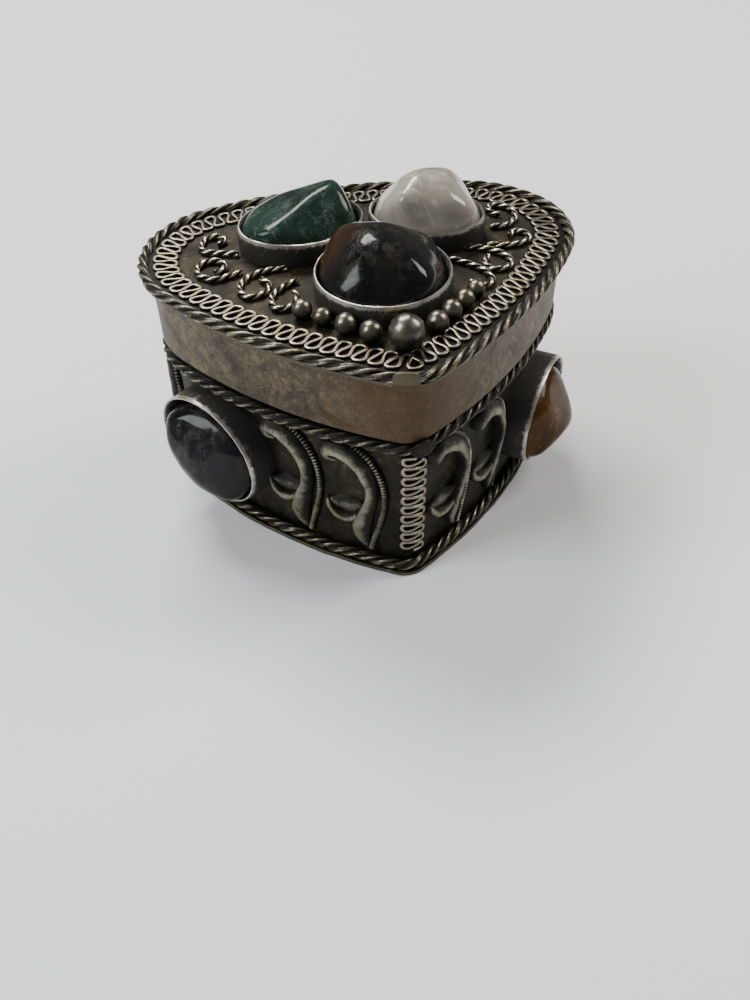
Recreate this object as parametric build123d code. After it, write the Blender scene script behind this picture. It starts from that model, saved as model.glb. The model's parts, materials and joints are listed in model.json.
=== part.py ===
from build123d import *
import os
from math import acos, atan2, cos, degrees, hypot, radians, sin, sqrt, tan

# Vanity trinket box: a shield-shaped base and a hinged lid in plated sheet metal, trimmed
# with wire rope, filigree, solder balls, stamped crescents and bezel-set tumbled stones.
# Millimetres, +Z up. The origin is the middle of the footprint on the underside; the nose
# of the shield points to -Y. "Offset" is a distance outwards from the face of the lid band,
# and a "station" is a distance along that face, from the nose, anticlockwise from above.

# Plan of the lid band's outer face: a nose, two lobes and the bows that wrap them
NOSE_RADIUS = 5.0
NOSE_Y = -24.1
LOBE_RADIUS = 16.8
LOBE_X = 18.6
LOBE_Y = 9.6
SIDE_BOW = 89.5
BACK_BOW = 82.0

# Base
FLOOR_THICKNESS = 0.8
FLOOR_OVERHANG = 0.5
BASE_HEIGHT = 29.8
WALL_THICKNESS = 1.0
LIP_HEIGHT = 2.6
LIP_CLEARANCE = 0.7
UPPER_ROPE_RADIUS = 1.1
FOOT_ROPE_RADIUS = 1.0
LID_REST_GAP = 0.15

# Lid
BAND_THICKNESS = 0.9
BAND_HEIGHT = 11.85
PLATE_THICKNESS = 0.65
PLATE_OVERHANG = 1.9
RIM_ROPE_RADIUS = 0.9
RIM_ROPE_PROUD = 0.2

# Flat bent-wire filigree on the lid and on the nose of the base
RIBBON_INSET = 0.6
RIBBON_WIDTH = 4.15
RIBBON_THICKNESS = 0.6
NOSE_STRIP = (-1.2, 3.3)
NOSE_STRIP_MARGIN = 1.6

# Small plates that cover the rope ends at the nose
JOINT_PLATE_THICKNESS = 0.45
BASE_JOINT_SPAN = (-0.6, 4.2)
BASE_JOINT_RISE = 0.5
LID_JOINT_SPAN = (-3.3, 0.0)
LID_JOINT_DROP = 0.25

# Bezel-set stones on the lid: place, half axes, turn of the long axis, height of the stone
BEZEL_WALL = 0.6
BEZEL_HEIGHT = 4.1
STONE_FIT = 0.08
LID_STONES = {
    "black": {"at": (0.6, -6.2), "axes": (11.4, 11.0), "turn": 61, "rise": 11.2, "lean": (0.5, 0.3)},
    "green": {"at": (-9.4, 12.6), "axes": (11.0, 8.9), "turn": 11, "rise": 10.6, "lean": (3.6, 0.4)},
    "clear": {"at": (12.0, 10.9), "axes": (10.1, 8.4), "turn": -23, "rise": 11.6, "lean": (-1.2, 0.8)},
}

# Bezel-set stones on the two sides of the base: place, half axes, height of the stone
SIDE_BEZEL_HEIGHT = 4.4
SIDE_STONES = {
    "left": {"station": -38.4, "z": 15.2, "axes": (11.0, 10.2), "rise": 9.6, "lean": (-1.5, -0.5)},
    "right": {"station": 38.3, "z": 13.3, "axes": (11.0, 9.3), "rise": 10.3, "lean": (0.5, -1.5)},
}

# Solder balls: one large ball at the nose and a row along each side of the black stone
LARGE_BALL_RADIUS = 2.75
LARGE_BALL_GAP = 1.65
ROW_BALL_RADII = (1.75, 1.65, 1.4, 1.3)
ROW_BALL_PITCH = 4.1
ROW_BALL_START = -4.9
ROW_ANGLE = 43.7
ROW_GAP = 0.1
BALL_SEAT = 0.12

# Twisted-wire scrolls soldered to the lid, as the line of the wire's middle
SCROLL_RADIUS = 0.55
SCROLL_BEZEL_GAP = 0.2
SCROLLS = {
    "left_scroll_1": [(-20.6, 9.6), (-26.1, 11.4), (-26.7, 13.6), (-25.6, 16.0), (-23.5, 16.6), (-22.4, 14.9)],
    "left_scroll_2": [(-20.6, 3.7), (-23.0, 2.9), (-25.4, 2.2), (-28.1, 4.6), (-27.6, 7.4), (-25.4, 8.5),
                      (-23.4, 7.6), (-23.4, 5.5)],
    "left_scroll_3": [(-13.4, 3.3), (-17.2, 3.2), (-20.4, 1.8), (-22.2, -1.6), (-20.6, -4.4), (-18.0, -3.4),
                      (-16.9, -1.4)],
    "left_scroll_4": [(-12.3, -0.8), (-15.4, -2.4), (-17.4, -5.2), (-16.9, -8.5), (-14.8, -8.4), (-13.0, -6.2)],
    "right_scroll_1": [(23.1, 9.2), (25.8, 8.8), (28.5, 11.2), (28.9, 14.0), (27.5, 16.6), (25.2, 16.8),
                       (24.5, 14.4)],
    "right_scroll_2": [(20.9, 3.4), (23.2, 2.3), (26.3, 2.3), (28.7, 3.9), (28.3, 6.2), (26.3, 6.6)],
    "right_scroll_3": [(14.2, 3.0), (17.6, 3.2), (21.2, 1.6), (23.6, -1.8), (22.3, -4.8), (19.4, -4.6),
                       (18.7, -2.4)],
    "right_scroll_4": [(13.5, 0.3), (16.2, -1.9), (18.4, -5.0), (18.6, -8.4), (16.4, -9.5)],
}

# Stamped crescents on the base wall, in the plane that touches the wall at their station
CRESCENT_RELIEF = 1.9
CRESCENT_Z = 15.0
CRESCENT_STATIONS = {
    "left_1": -9.9, "left_2": -21.7, "left_3": -57.2, "left_4": -70.4, "left_5": -83.0,
    "right_1": 9.0, "right_2": 20.7, "right_3": 55.9, "right_4": 69.2, "right_5": 81.9,
}
CRESCENT_BACK = [(-5.6, 7.9), (-4.1, 10.3), (-1.0, 10.9), (2.8, 8.9), (5.0, 4.2), (5.2, -1.4), (3.6, -8.8),
                 (1.9, -11.0)]
CRESCENT_BELLY = [(-0.2, -7.4), (1.4, -2.0), (1.5, 3.6), (-0.6, 7.2), (-3.0, 7.8)]
HOOK_OUTER = [(2.0, -4.0), (-0.8, -6.0), (-4.0, -5.6), (-5.5, -2.6)]
HOOK_INNER = [(-4.2, -2.9), (-3.0, -4.3), (-0.9, -4.2), (1.8, -1.6)]
BEADED_WIRE_WIDTH = 0.8
BEADED_WIRE_RELIEF = 0.9
BEADED_WIRE_GAP = 0.05
UNDERCUT = 3.0

# Hinge at the middle of the back
HINGE_WIDTH = 15.0
HINGE_BARREL_RADIUS = 1.3
HINGE_BAND_GAP = 0.35
HINGE_LEAF_THICKNESS = 0.6
HINGE_LEAF_HEIGHT = 5.0
HINGE_PIN_RADIUS = 0.5
HINGE_PIN_CLEARANCE = 0.05
HINGE_PIN_HEAD = 0.35
HINGE_PIN_HEAD_RADIUS = 0.85
HINGE_KNUCKLES = 5
KNUCKLE_GAP = 0.15
HINGE_SWING_GAP = 0.3

WALL_OFFSET = -(BAND_THICKNESS + LIP_CLEARANCE)
PLATE_BOTTOM = BASE_HEIGHT + BAND_HEIGHT
PLATE_TOP = PLATE_BOTTOM + PLATE_THICKNESS
PERFECT_FIT = 0.0
SHORTEST_EDGE = 1e-6


# ---- Plan of the box -------------------------------------------------------------------

def wrap_centre(first, first_radius, second, second_radius, bow):
    """Centre of the arc of radius bow that wraps two circles, going anticlockwise."""
    dx, dy = second[0] - first[0], second[1] - first[1]
    span = hypot(dx, dy)
    to_first, to_second = bow - first_radius, bow - second_radius
    along = (to_first**2 - to_second**2 + span**2) / (2 * span)
    across = sqrt(to_first**2 - along**2)
    return (first[0] + (along * dx - across * dy) / span, first[1] + (along * dy + across * dx) / span)


def bearing(start, end):
    """Direction from start to end in degrees."""
    return degrees(atan2(end[1] - start[1], end[0] - start[0]))


def plan_arcs():
    """Arcs of the band's outer face as (centre, radius, start angle, end angle), from the nose."""
    nose, lobe = (0, NOSE_Y), (LOBE_X, LOBE_Y)
    side = wrap_centre(nose, NOSE_RADIUS, lobe, LOBE_RADIUS, SIDE_BOW)
    back = (0, LOBE_Y - sqrt((BACK_BOW - LOBE_RADIUS) ** 2 - LOBE_X**2))
    nose_end, side_end, lobe_end = bearing(side, nose), bearing(side, lobe), bearing(back, lobe)
    right = [(nose, NOSE_RADIUS, -90, nose_end), (side, SIDE_BOW, nose_end, side_end),
             (lobe, LOBE_RADIUS, side_end, lobe_end), (back, BACK_BOW, lobe_end, 90)]
    left = [((-c[0], c[1]), r, 180 - end, 180 - start) for c, r, start, end in reversed(right)]
    return right + left


ARCS = plan_arcs()
ARC_LENGTHS = [radius * radians(end - start) for _, radius, start, end in ARCS]
PERIMETER = sum(ARC_LENGTHS)


def plan_point(station, offset):
    """Point of the plan at a station and offset, and the bearing of the outward normal there."""
    left = station % PERIMETER
    for (centre, radius, start, _), length in zip(ARCS, ARC_LENGTHS):
        if left <= length:
            break
        left -= length
    angle = start + degrees(min(left, length) / radius)
    reach = radius + offset
    return (centre[0] + reach * cos(radians(angle)), centre[1] + reach * sin(radians(angle))), angle


def nose_trim(offset):
    """Bearing at which the right side bow crosses the middle line, once the nose's own arc has shrunk away."""
    if NOSE_RADIUS + offset > 0:
        return ARCS[1][2]
    return -degrees(acos(-ARCS[1][0][0] / (SIDE_BOW + offset)))


def plan_edges(offset, first=0.0, last=PERIMETER):
    """Arc edges of the plan at one offset, from the first station to the last."""
    edges, trim = [], nose_trim(offset)
    for lap in (-1, 0, 1):
        position = lap * PERIMETER
        for index, ((centre, radius, start, _), length) in enumerate(zip(ARCS, ARC_LENGTHS)):
            low, high = max(first, position), min(last, position + length)
            from_angle = start + degrees((low - position) / radius)
            to_angle = start + degrees((high - position) / radius)
            if index == 1:
                from_angle = max(from_angle, trim)
            elif index == len(ARCS) - 2:
                to_angle = min(to_angle, 180 - trim)
            if radius + offset > 0 and radians(to_angle - from_angle) * radius > SHORTEST_EDGE:
                edges.append(CenterArc(centre, radius + offset, from_angle, to_angle - from_angle))
            position += length
    return edges


def plan_block(offset, bottom, top):
    """Solid block of the box's plan at one offset, between two heights."""
    return Pos(0, 0, bottom) * extrude(make_face(plan_edges(offset)), amount=top - bottom)


def plan_ring(inner, outer, bottom, top):
    """Closed wall between two offsets and two heights."""
    return plan_block(outer, bottom, top) - plan_block(inner, bottom, top)


def plan_patch(first, last, inner, outer, bottom, top):
    """Piece of wall between two stations, two offsets and two heights."""
    ends = [Line(plan_point(s, inner)[0], plan_point(s, outer)[0]) for s in (first, last)]
    face = make_face(plan_edges(outer, first, last) + plan_edges(inner, first, last) + ends)
    return Pos(0, 0, bottom) * extrude(face, amount=top - bottom)


def plan_tube(offset, height, radius, first=0.0, last=PERIMETER):
    """Round wire that follows the plan at one offset and height."""
    path = Pos(0, 0, height) * Wire(plan_edges(offset, first, last))
    return sweep(Plane(origin=path @ 0, z_dir=path % 0) * Circle(radius), path=path)


def wall_plane(station, height):
    """Plane that touches the base wall: X along the wall, Y up, Z outwards."""
    (x, y), angle = plan_point(station, WALL_OFFSET)
    outwards = (cos(radians(angle)), sin(radians(angle)), 0)
    return Plane(origin=(x, y, height), x_dir=(-outwards[1], outwards[0], 0), z_dir=outwards)


# ---- Base --------------------------------------------------------------------------------

def base_floor():
    """Bottom plate, which the wall and the foot rope stand on."""
    return plan_block(FLOOR_OVERHANG, 0, FLOOR_THICKNESS)


def base_wall():
    """Side wall, whose top edge stands up inside the lid as a lip."""
    inner = WALL_OFFSET - WALL_THICKNESS
    return plan_ring(inner, WALL_OFFSET, FLOOR_THICKNESS, BASE_HEIGHT + LIP_HEIGHT)


def wall_core():
    """Everything inside the wall's outer face, for seating trim on it."""
    return plan_block(WALL_OFFSET, 0, BASE_HEIGHT + LIP_HEIGHT)


def foot_rope():
    """Rope round the foot, lying on the bottom plate against the wall."""
    return plan_tube(WALL_OFFSET + FOOT_ROPE_RADIUS, FLOOR_THICKNESS + FOOT_ROPE_RADIUS, FOOT_ROPE_RADIUS)


def upper_rope():
    """Rope under the lid band, let in at the back for the hinge."""
    gap = HINGE_WIDTH / 2 + HINGE_PIN_HEAD + HINGE_SWING_GAP
    height = BASE_HEIGHT - LID_REST_GAP - UPPER_ROPE_RADIUS
    first, last = PERIMETER / 2 + gap, PERIMETER * 3 / 2 - gap
    return plan_tube(WALL_OFFSET + UPPER_ROPE_RADIUS, height, UPPER_ROPE_RADIUS, first, last)


def rope_joint_plate():
    """Plate soldered over the ends of the upper rope at the nose."""
    inner = WALL_OFFSET + 2 * UPPER_ROPE_RADIUS
    bottom = BASE_HEIGHT - LID_REST_GAP - 2 * UPPER_ROPE_RADIUS - BASE_JOINT_RISE
    outer = inner + JOINT_PLATE_THICKNESS
    return plan_patch(*BASE_JOINT_SPAN, inner, outer, bottom, BASE_HEIGHT + BASE_JOINT_RISE)


def nose_filigree():
    """Flat bent-wire strip down the nose, between the two ropes."""
    bottom = FLOOR_THICKNESS + 2 * FOOT_ROPE_RADIUS + NOSE_STRIP_MARGIN
    top = BASE_HEIGHT - 2 * UPPER_ROPE_RADIUS - NOSE_STRIP_MARGIN
    return plan_patch(*NOSE_STRIP, WALL_OFFSET, WALL_OFFSET + RIBBON_THICKNESS, bottom, top)


def pushed(points, distance):
    """The same row of points, each moved to its left by a distance."""
    moved = []
    for i, (x, y) in enumerate(points):
        before, after = points[max(i - 1, 0)], points[min(i + 1, len(points) - 1)]
        dx, dy = after[0] - before[0], after[1] - before[1]
        moved.append((x - dy / hypot(dx, dy) * distance, y + dx / hypot(dx, dy) * distance))
    return moved


def stamping(outline, relief, station):
    """Flat stamping of one outline, seated on the curved wall at a station."""
    blank = extrude(Pos(0, 0, -UNDERCUT) * outline, amount=UNDERCUT + relief)
    return wall_plane(station, CRESCENT_Z) * blank - wall_core()


def crescent(station):
    """Stamped horn with a curled hook in its mouth."""
    back, belly = Spline(*CRESCENT_BACK), Spline(*CRESCENT_BELLY)
    horn = make_face([back, Line(back @ 1, belly @ 0), belly, Line(belly @ 1, back @ 0)])
    outer, inner = Spline(*HOOK_OUTER), Spline(*HOOK_INNER)
    hook = make_face([outer, Line(outer @ 1, inner @ 0), inner, Line(inner @ 1, outer @ 0)])
    return stamping(horn + hook, CRESCENT_RELIEF, station)


def beaded_wire(station):
    """Beaded wire along the back of a crescent."""
    near = Spline(*pushed(CRESCENT_BACK[1:], BEADED_WIRE_GAP))
    far = Spline(*pushed(CRESCENT_BACK[1:], BEADED_WIRE_GAP + BEADED_WIRE_WIDTH))
    outline = make_face([near, far, Line(near @ 0, far @ 0), Line(near @ 1, far @ 1)])
    return stamping(outline, BEADED_WIRE_RELIEF, station)


# ---- Stones and bezels --------------------------------------------------------------------

def bezel(axes, height, seat=0.0):
    """Oval cup wall standing on z=seat, in its own frame."""
    wall = Ellipse(*axes) - Ellipse(axes[0] - BEZEL_WALL, axes[1] - BEZEL_WALL)
    return extrude(Pos(0, 0, seat) * wall, amount=height - seat)


def stone(axes, bezel_height, rise, lean, seat=0.0):
    """Tumbled stone: straight inside its bezel, then a dome that leans to one side."""
    long_axis, short_axis = (axis - BEZEL_WALL - STONE_FIT for axis in axes)
    levels = [(seat, 1.0, 0.0), (0.7 * bezel_height, 1.0, 0.0), (0.55 * rise, 0.88, 0.3),
              (0.82 * rise, 0.6, 0.7), (0.96 * rise, 0.3, 0.95), (rise, 0.06, 1.0)]
    sections = [Pos(lean[0] * shift, lean[1] * shift, height) * Ellipse(long_axis * share, short_axis * share)
                for height, share, shift in levels]
    shank = extrude(sections[0], amount=levels[1][0] - seat)
    return shank + loft(sections[1:])


def lid_stone_place(name):
    """Place of a lid stone on the lid plate."""
    x, y = LID_STONES[name]["at"]
    return Pos(x, y, PLATE_TOP) * Rot(0, 0, LID_STONES[name]["turn"])


def lid_stone(name):
    """One of the lid's stones in its place."""
    design = LID_STONES[name]
    return lid_stone_place(name) * stone(design["axes"], BEZEL_HEIGHT, design["rise"], design["lean"])


def lid_bezel(name):
    """Bezel of one of the lid's stones."""
    return lid_stone_place(name) * bezel(LID_STONES[name]["axes"], BEZEL_HEIGHT)


def side_stone(name):
    """Stone on one side of the base, seated on the curved wall."""
    design = SIDE_STONES[name]
    body = stone(design["axes"], SIDE_BEZEL_HEIGHT, design["rise"], design["lean"], -UNDERCUT)
    return wall_plane(design["station"], design["z"]) * body - wall_core()


def side_bezel(name):
    """Bezel of a side stone, cut to the curve of the wall."""
    design = SIDE_STONES[name]
    cup = bezel(design["axes"], SIDE_BEZEL_HEIGHT, -UNDERCUT)
    return wall_plane(design["station"], design["z"]) * cup - wall_core()


# ---- Lid ----------------------------------------------------------------------------------

def lid_plate():
    """Top plate of the lid, a little wider than the band."""
    return plan_block(PLATE_OVERHANG, PLATE_BOTTOM, PLATE_TOP)


def lid_band():
    """Plain band that drops over the lip of the base."""
    return plan_ring(-BAND_THICKNESS, 0, BASE_HEIGHT, PLATE_BOTTOM)


def lid_rim_rope():
    """Thick rope round the edge of the lid plate."""
    offset = PLATE_OVERHANG + RIM_ROPE_PROUD - RIM_ROPE_RADIUS
    return plan_tube(offset, PLATE_TOP + RIM_ROPE_RADIUS, RIM_ROPE_RADIUS)


def lid_joint_tab():
    """Small tab over the ends of the rim rope, which also lifts the lid."""
    inner = PLATE_OVERHANG + RIM_ROPE_PROUD
    top = PLATE_TOP + 2 * RIM_ROPE_RADIUS
    return plan_patch(*LID_JOINT_SPAN, inner, inner + JOINT_PLATE_THICKNESS, PLATE_BOTTOM - LID_JOINT_DROP, top)


def lid_ribbon():
    """Band of flat bent wire just inside the rim rope."""
    return plan_ring(-RIBBON_INSET - RIBBON_WIDTH, -RIBBON_INSET, PLATE_TOP, PLATE_TOP + RIBBON_THICKNESS)


def corner_radii(points):
    """Largest fair arc at each inner corner of a wire's line."""
    radii = []
    for before, corner, after in zip(points, points[1:], points[2:]):
        turn = radians((bearing(corner, after) - bearing(before, corner) + 180) % 360 - 180)
        shorter = min(hypot(corner[0] - before[0], corner[1] - before[1]),
                      hypot(after[0] - corner[0], after[1] - corner[1]))
        radii.append(0.45 * shorter / tan(abs(turn) / 2))
    return radii


def scroll(name):
    """Twisted-wire scroll, cut back where it would reach a bezel."""
    points = SCROLLS[name]
    path = Pos(0, 0, PLATE_TOP + SCROLL_RADIUS) * FilletPolyline(*points, radius=corner_radii(points))
    wire = sweep(Plane(origin=path @ 0, z_dir=path % 0) * Circle(SCROLL_RADIUS), path=path)
    for stone_name, design in LID_STONES.items():
        keep_out = Ellipse(*(axis + SCROLL_BEZEL_GAP for axis in design["axes"]))
        wire -= lid_stone_place(stone_name) * extrude(keep_out, amount=BEZEL_HEIGHT)
    return wire


def solder_ball(x, y, radius):
    """Ball with a small flat where it is soldered to the lid plate."""
    ball = Pos(x, y, PLATE_TOP + radius - BALL_SEAT) * Sphere(radius)
    return ball - Pos(x, y, PLATE_TOP - radius) * Box(2 * radius, 2 * radius, 2 * radius)


def ball_places():
    """Name, place and radius of every solder ball, set out round the black stone's bezel."""
    (centre_x, centre_y), reach = LID_STONES["black"]["at"], max(LID_STONES["black"]["axes"])
    places = {"front_ball": (centre_x, centre_y - reach - LARGE_BALL_GAP - LARGE_BALL_RADIUS, LARGE_BALL_RADIUS)}
    across, along = sin(radians(ROW_ANGLE)), cos(radians(ROW_ANGLE))
    row_distance = reach + ROW_GAP + sum(ROW_BALL_RADII) / len(ROW_BALL_RADII)
    for side, direction in (("left", -1), ("right", 1)):
        for k, radius in enumerate(ROW_BALL_RADII):
            run = ROW_BALL_START + k * ROW_BALL_PITCH
            x = centre_x + direction * (row_distance * across + run * along)
            y = centre_y - row_distance * along + run * across
            places[f"{side}_ball_{k + 1}"] = (x, y, radius)
    return places


# ---- Hinge --------------------------------------------------------------------------------

BACK_Y = plan_point(PERIMETER / 2, 0)[0][1]
HINGE_Y = BACK_Y + HINGE_BAND_GAP + HINGE_BARREL_RADIUS
HINGE_Z = BASE_HEIGHT


def knuckle_span(index):
    """Ends of one knuckle along X."""
    pitch = HINGE_WIDTH / HINGE_KNUCKLES
    start = -HINGE_WIDTH / 2 + index * pitch
    return start + KNUCKLE_GAP / 2, start + pitch - KNUCKLE_GAP / 2


def along_x(first, last, radius):
    """Round bar on the hinge axis between two values of X."""
    return Pos((first + last) / 2, HINGE_Y, HINGE_Z) * Rot(0, 90, 0) * Cylinder(radius, last - first)


def knuckle(index, web_from_y, web_bottom, web_top):
    """Knuckle with the web that ties it to its leaf."""
    first, last = knuckle_span(index)
    depth, height = HINGE_Y - web_from_y, web_top - web_bottom
    web = Pos((first + last) / 2, web_from_y + depth / 2, web_bottom + height / 2) * Box(last - first, depth, height)
    return along_x(first, last, HINGE_BARREL_RADIUS) + web


def hinge_leaf_base():
    """Base half of the hinge: a leaf on the wall and the odd knuckles."""
    middle, half = PERIMETER / 2, HINGE_WIDTH / 2
    top = HINGE_Z - HINGE_SWING_GAP
    leaf = plan_patch(middle - half, middle + half, WALL_OFFSET, WALL_OFFSET + HINGE_LEAF_THICKNESS,
                      top - HINGE_LEAF_HEIGHT, top)
    web_start = BACK_Y + WALL_OFFSET
    for index in range(0, HINGE_KNUCKLES, 2):
        leaf += knuckle(index, web_start, top - HINGE_BARREL_RADIUS / 2, top)
    return leaf - along_x(-HINGE_WIDTH, HINGE_WIDTH, HINGE_PIN_RADIUS + HINGE_PIN_CLEARANCE) - wall_core()


def hinge_leaf_lid():
    """Lid half of the hinge: a leaf on the band and the even knuckles."""
    middle, half = PERIMETER / 2, HINGE_WIDTH / 2
    bottom = HINGE_Z + HINGE_BARREL_RADIUS + HINGE_SWING_GAP
    leaf = plan_patch(middle - half, middle + half, PERFECT_FIT, HINGE_LEAF_THICKNESS, bottom,
                      bottom + HINGE_LEAF_HEIGHT)
    for index in range(1, HINGE_KNUCKLES, 2):
        leaf += knuckle(index, BACK_Y - HINGE_BAND_GAP, HINGE_Z, bottom + HINGE_LEAF_THICKNESS)
    bore = along_x(-HINGE_WIDTH, HINGE_WIDTH, HINGE_PIN_RADIUS + HINGE_PIN_CLEARANCE)
    return leaf - bore - plan_block(PERFECT_FIT, 0, PLATE_BOTTOM)


def hinge_pin():
    """Pin through all the knuckles, with peened heads."""
    half = HINGE_WIDTH / 2
    pin = along_x(-half, half, HINGE_PIN_RADIUS)
    for side in (-1, 1):
        near, far = sorted((side * half, side * (half + HINGE_PIN_HEAD)))
        pin += along_x(near, far, HINGE_PIN_HEAD_RADIUS)
    return pin


# ---- Assembly -----------------------------------------------------------------------------

def build_parts():
    """Every node of the box by name."""
    parts = {
        "base_floor": base_floor(), "base_wall": base_wall(), "foot_rope": foot_rope(),
        "upper_rope": upper_rope(), "rope_joint_plate": rope_joint_plate(), "nose_filigree": nose_filigree(),
        "hinge_leaf_base": hinge_leaf_base(), "hinge_leaf_lid": hinge_leaf_lid(), "hinge_pin": hinge_pin(),
        "lid_plate": lid_plate(), "lid_band": lid_band(), "lid_rim_rope": lid_rim_rope(),
        "lid_joint_tab": lid_joint_tab(), "lid_ribbon": lid_ribbon(),
    }
    for name, station in CRESCENT_STATIONS.items():
        parts[f"crescent_{name}"] = crescent(station)
    parts["beaded_wires"] = Compound([beaded_wire(s).solid() for s in CRESCENT_STATIONS.values()])
    for name in SIDE_STONES:
        parts[f"{name}_stone"], parts[f"{name}_bezel"] = side_stone(name), side_bezel(name)
    for name in LID_STONES:
        parts[f"{name}_stone"], parts[f"{name}_bezel"] = lid_stone(name), lid_bezel(name)
    for name in SCROLLS:
        parts[name] = scroll(name)
    for name, (x, y, radius) in ball_places().items():
        parts[name] = solder_ball(x, y, radius)
    return parts


os.makedirs("parts", exist_ok=True)
for node, shape in build_parts().items():
    export_step(shape, f"parts/{node}.step")
print("hinge axis y, z:", HINGE_Y, HINGE_Z, "back y:", BACK_Y, "perimeter:", PERIMETER)
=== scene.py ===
"""Looks of a shield-shaped trinket box in aged silver plate, set with tumbled stones.

Every piece is built in millimetres from the box's plan and heights, scaled to metres once it is
whole, and rides on the CAD body that its own CAD node rides on.
"""

from __future__ import annotations

import json
import logging
import math
from dataclasses import dataclass, field, replace
from enum import Enum
from typing import Callable, Iterable, Sequence

import bpy
import numpy as np
from mathutils import Matrix, Vector, noise

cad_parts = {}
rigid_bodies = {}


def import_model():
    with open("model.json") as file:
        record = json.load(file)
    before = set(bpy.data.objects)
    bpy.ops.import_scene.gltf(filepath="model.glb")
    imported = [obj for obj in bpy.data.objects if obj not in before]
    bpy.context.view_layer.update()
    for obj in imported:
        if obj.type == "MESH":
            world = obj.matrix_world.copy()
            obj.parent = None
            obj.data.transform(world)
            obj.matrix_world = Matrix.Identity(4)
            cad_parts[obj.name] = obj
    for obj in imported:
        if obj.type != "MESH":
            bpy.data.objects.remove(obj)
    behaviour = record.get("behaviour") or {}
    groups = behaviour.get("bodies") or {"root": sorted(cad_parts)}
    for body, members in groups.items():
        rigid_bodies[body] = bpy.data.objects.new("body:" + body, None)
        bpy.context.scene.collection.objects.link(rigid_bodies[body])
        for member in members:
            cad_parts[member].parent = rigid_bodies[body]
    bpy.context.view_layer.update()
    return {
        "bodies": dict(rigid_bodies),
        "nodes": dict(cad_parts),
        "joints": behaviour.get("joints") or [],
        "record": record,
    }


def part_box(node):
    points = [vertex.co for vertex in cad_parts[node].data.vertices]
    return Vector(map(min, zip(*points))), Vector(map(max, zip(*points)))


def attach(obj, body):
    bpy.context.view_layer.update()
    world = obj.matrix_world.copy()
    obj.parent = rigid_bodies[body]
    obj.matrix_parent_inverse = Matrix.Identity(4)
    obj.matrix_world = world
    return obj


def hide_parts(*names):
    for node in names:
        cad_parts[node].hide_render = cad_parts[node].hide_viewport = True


LOG = logging.getLogger("trinket_box")
MM = 0.001
PER_MM = 1000.0
TURN = 2 * math.pi

Point = tuple[float, float]
Colour = tuple[float, float, float]


class Body(str, Enum):
    """CAD bodies that the pieces ride on."""

    BASE = "base"
    LID = "lid"


# ---- Plan of the box ---------------------------------------------------------------------


@dataclass(frozen=True)
class Plan:
    """Outline of the box at one offset from the face of the lid band, in millimetres."""

    offset: float = 0.0
    nose_radius: float = 5.0
    nose_y: float = -24.1
    lobe_radius: float = 16.8
    lobe: Point = (18.6, 9.6)
    side_bow: float = 89.5
    back_bow: float = 82.0

    def at_offset(self, offset: float) -> "Plan":
        """The same plan at another offset."""
        return replace(self, offset=offset)

    def arcs(self) -> list[tuple[Point, float, float, float]]:
        """Arcs of the outline, anticlockwise from the nose.

        Returns:
            (centre, radius on the band's face, first bearing, last bearing) of each arc.
        """
        nose = (0.0, self.nose_y)
        to_nose, to_lobe = self.side_bow - self.nose_radius, self.side_bow - self.lobe_radius
        dx, dy = self.lobe[0] - nose[0], self.lobe[1] - nose[1]
        span = math.hypot(dx, dy)
        along = (to_nose**2 - to_lobe**2 + span**2) / (2 * span)
        across = math.sqrt(to_nose**2 - along**2)
        side = (nose[0] + (along * dx - across * dy) / span, nose[1] + (along * dy + across * dx) / span)
        back = (0.0, self.lobe[1] - math.sqrt((self.back_bow - self.lobe_radius) ** 2 - self.lobe[0] ** 2))
        chords = ((side, nose), (side, self.lobe), (back, self.lobe))
        bearings = [math.atan2(b[1] - a[1], b[0] - a[0]) for a, b in chords]
        right = [
            (nose, self.nose_radius, -math.pi / 2, bearings[0]),
            (side, self.side_bow, bearings[0], bearings[1]),
            (self.lobe, self.lobe_radius, bearings[1], bearings[2]),
            (back, self.back_bow, bearings[2], math.pi / 2),
        ]
        left = [((-c[0], c[1]), r, math.pi - last, math.pi - first) for c, r, first, last in reversed(right)]
        return right + left

    def lengths(self) -> list[float]:
        """Length of each arc at this offset."""
        return [(radius + self.offset) * (last - first) for _, radius, first, last in self.arcs()]

    def perimeter(self) -> float:
        """Length of the whole outline at this offset."""
        return sum(self.lengths())

    def at(self, run: np.ndarray | float) -> tuple[np.ndarray, np.ndarray]:
        """Points of the outline and their outward normals.

        Args:
            run: Distances along this outline from the nose.

        Returns:
            Points and unit normals, each with a last axis of x and y.
        """
        lengths = self.lengths()
        left = np.mod(np.asarray(run, float), sum(lengths))
        points, normals = np.zeros(left.shape + (2,)), np.zeros(left.shape + (2,))
        start = 0.0
        for (centre, radius, first, _), length in zip(self.arcs(), lengths):
            inside = (left >= start) & (left <= start + length)
            bearing = first + (left - start) / (radius + self.offset)
            normal = np.stack([np.cos(bearing), np.sin(bearing)], -1)
            points = np.where(inside[..., None], np.array(centre) + (radius + self.offset) * normal, points)
            normals = np.where(inside[..., None], normal, normals)
            start += length
        return points, normals

    def run_of(self, station: float) -> float:
        """Distance along this outline of a station on the band's face."""
        band = self.at_offset(0.0)
        left, run = station % band.perimeter(), 0.0
        for mine, theirs in zip(self.lengths(), band.lengths()):
            if left <= theirs:
                return run + mine * left / theirs
            left, run = left - theirs, run + mine
        return run

    def loop(self, count: int, height: float) -> np.ndarray:
        """Points spaced evenly round the outline at one height."""
        xy, _ = self.at(np.linspace(0, self.perimeter(), count, endpoint=False))
        return np.column_stack([xy, np.full(count, height)])


@dataclass(frozen=True)
class Heights:
    """Heights of the box above what it stands on, in millimetres."""

    floor: float = 0.8
    parting: float = 29.8
    lip: float = 32.4
    plate_bottom: float = 41.65
    plate_top: float = 42.3


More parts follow.
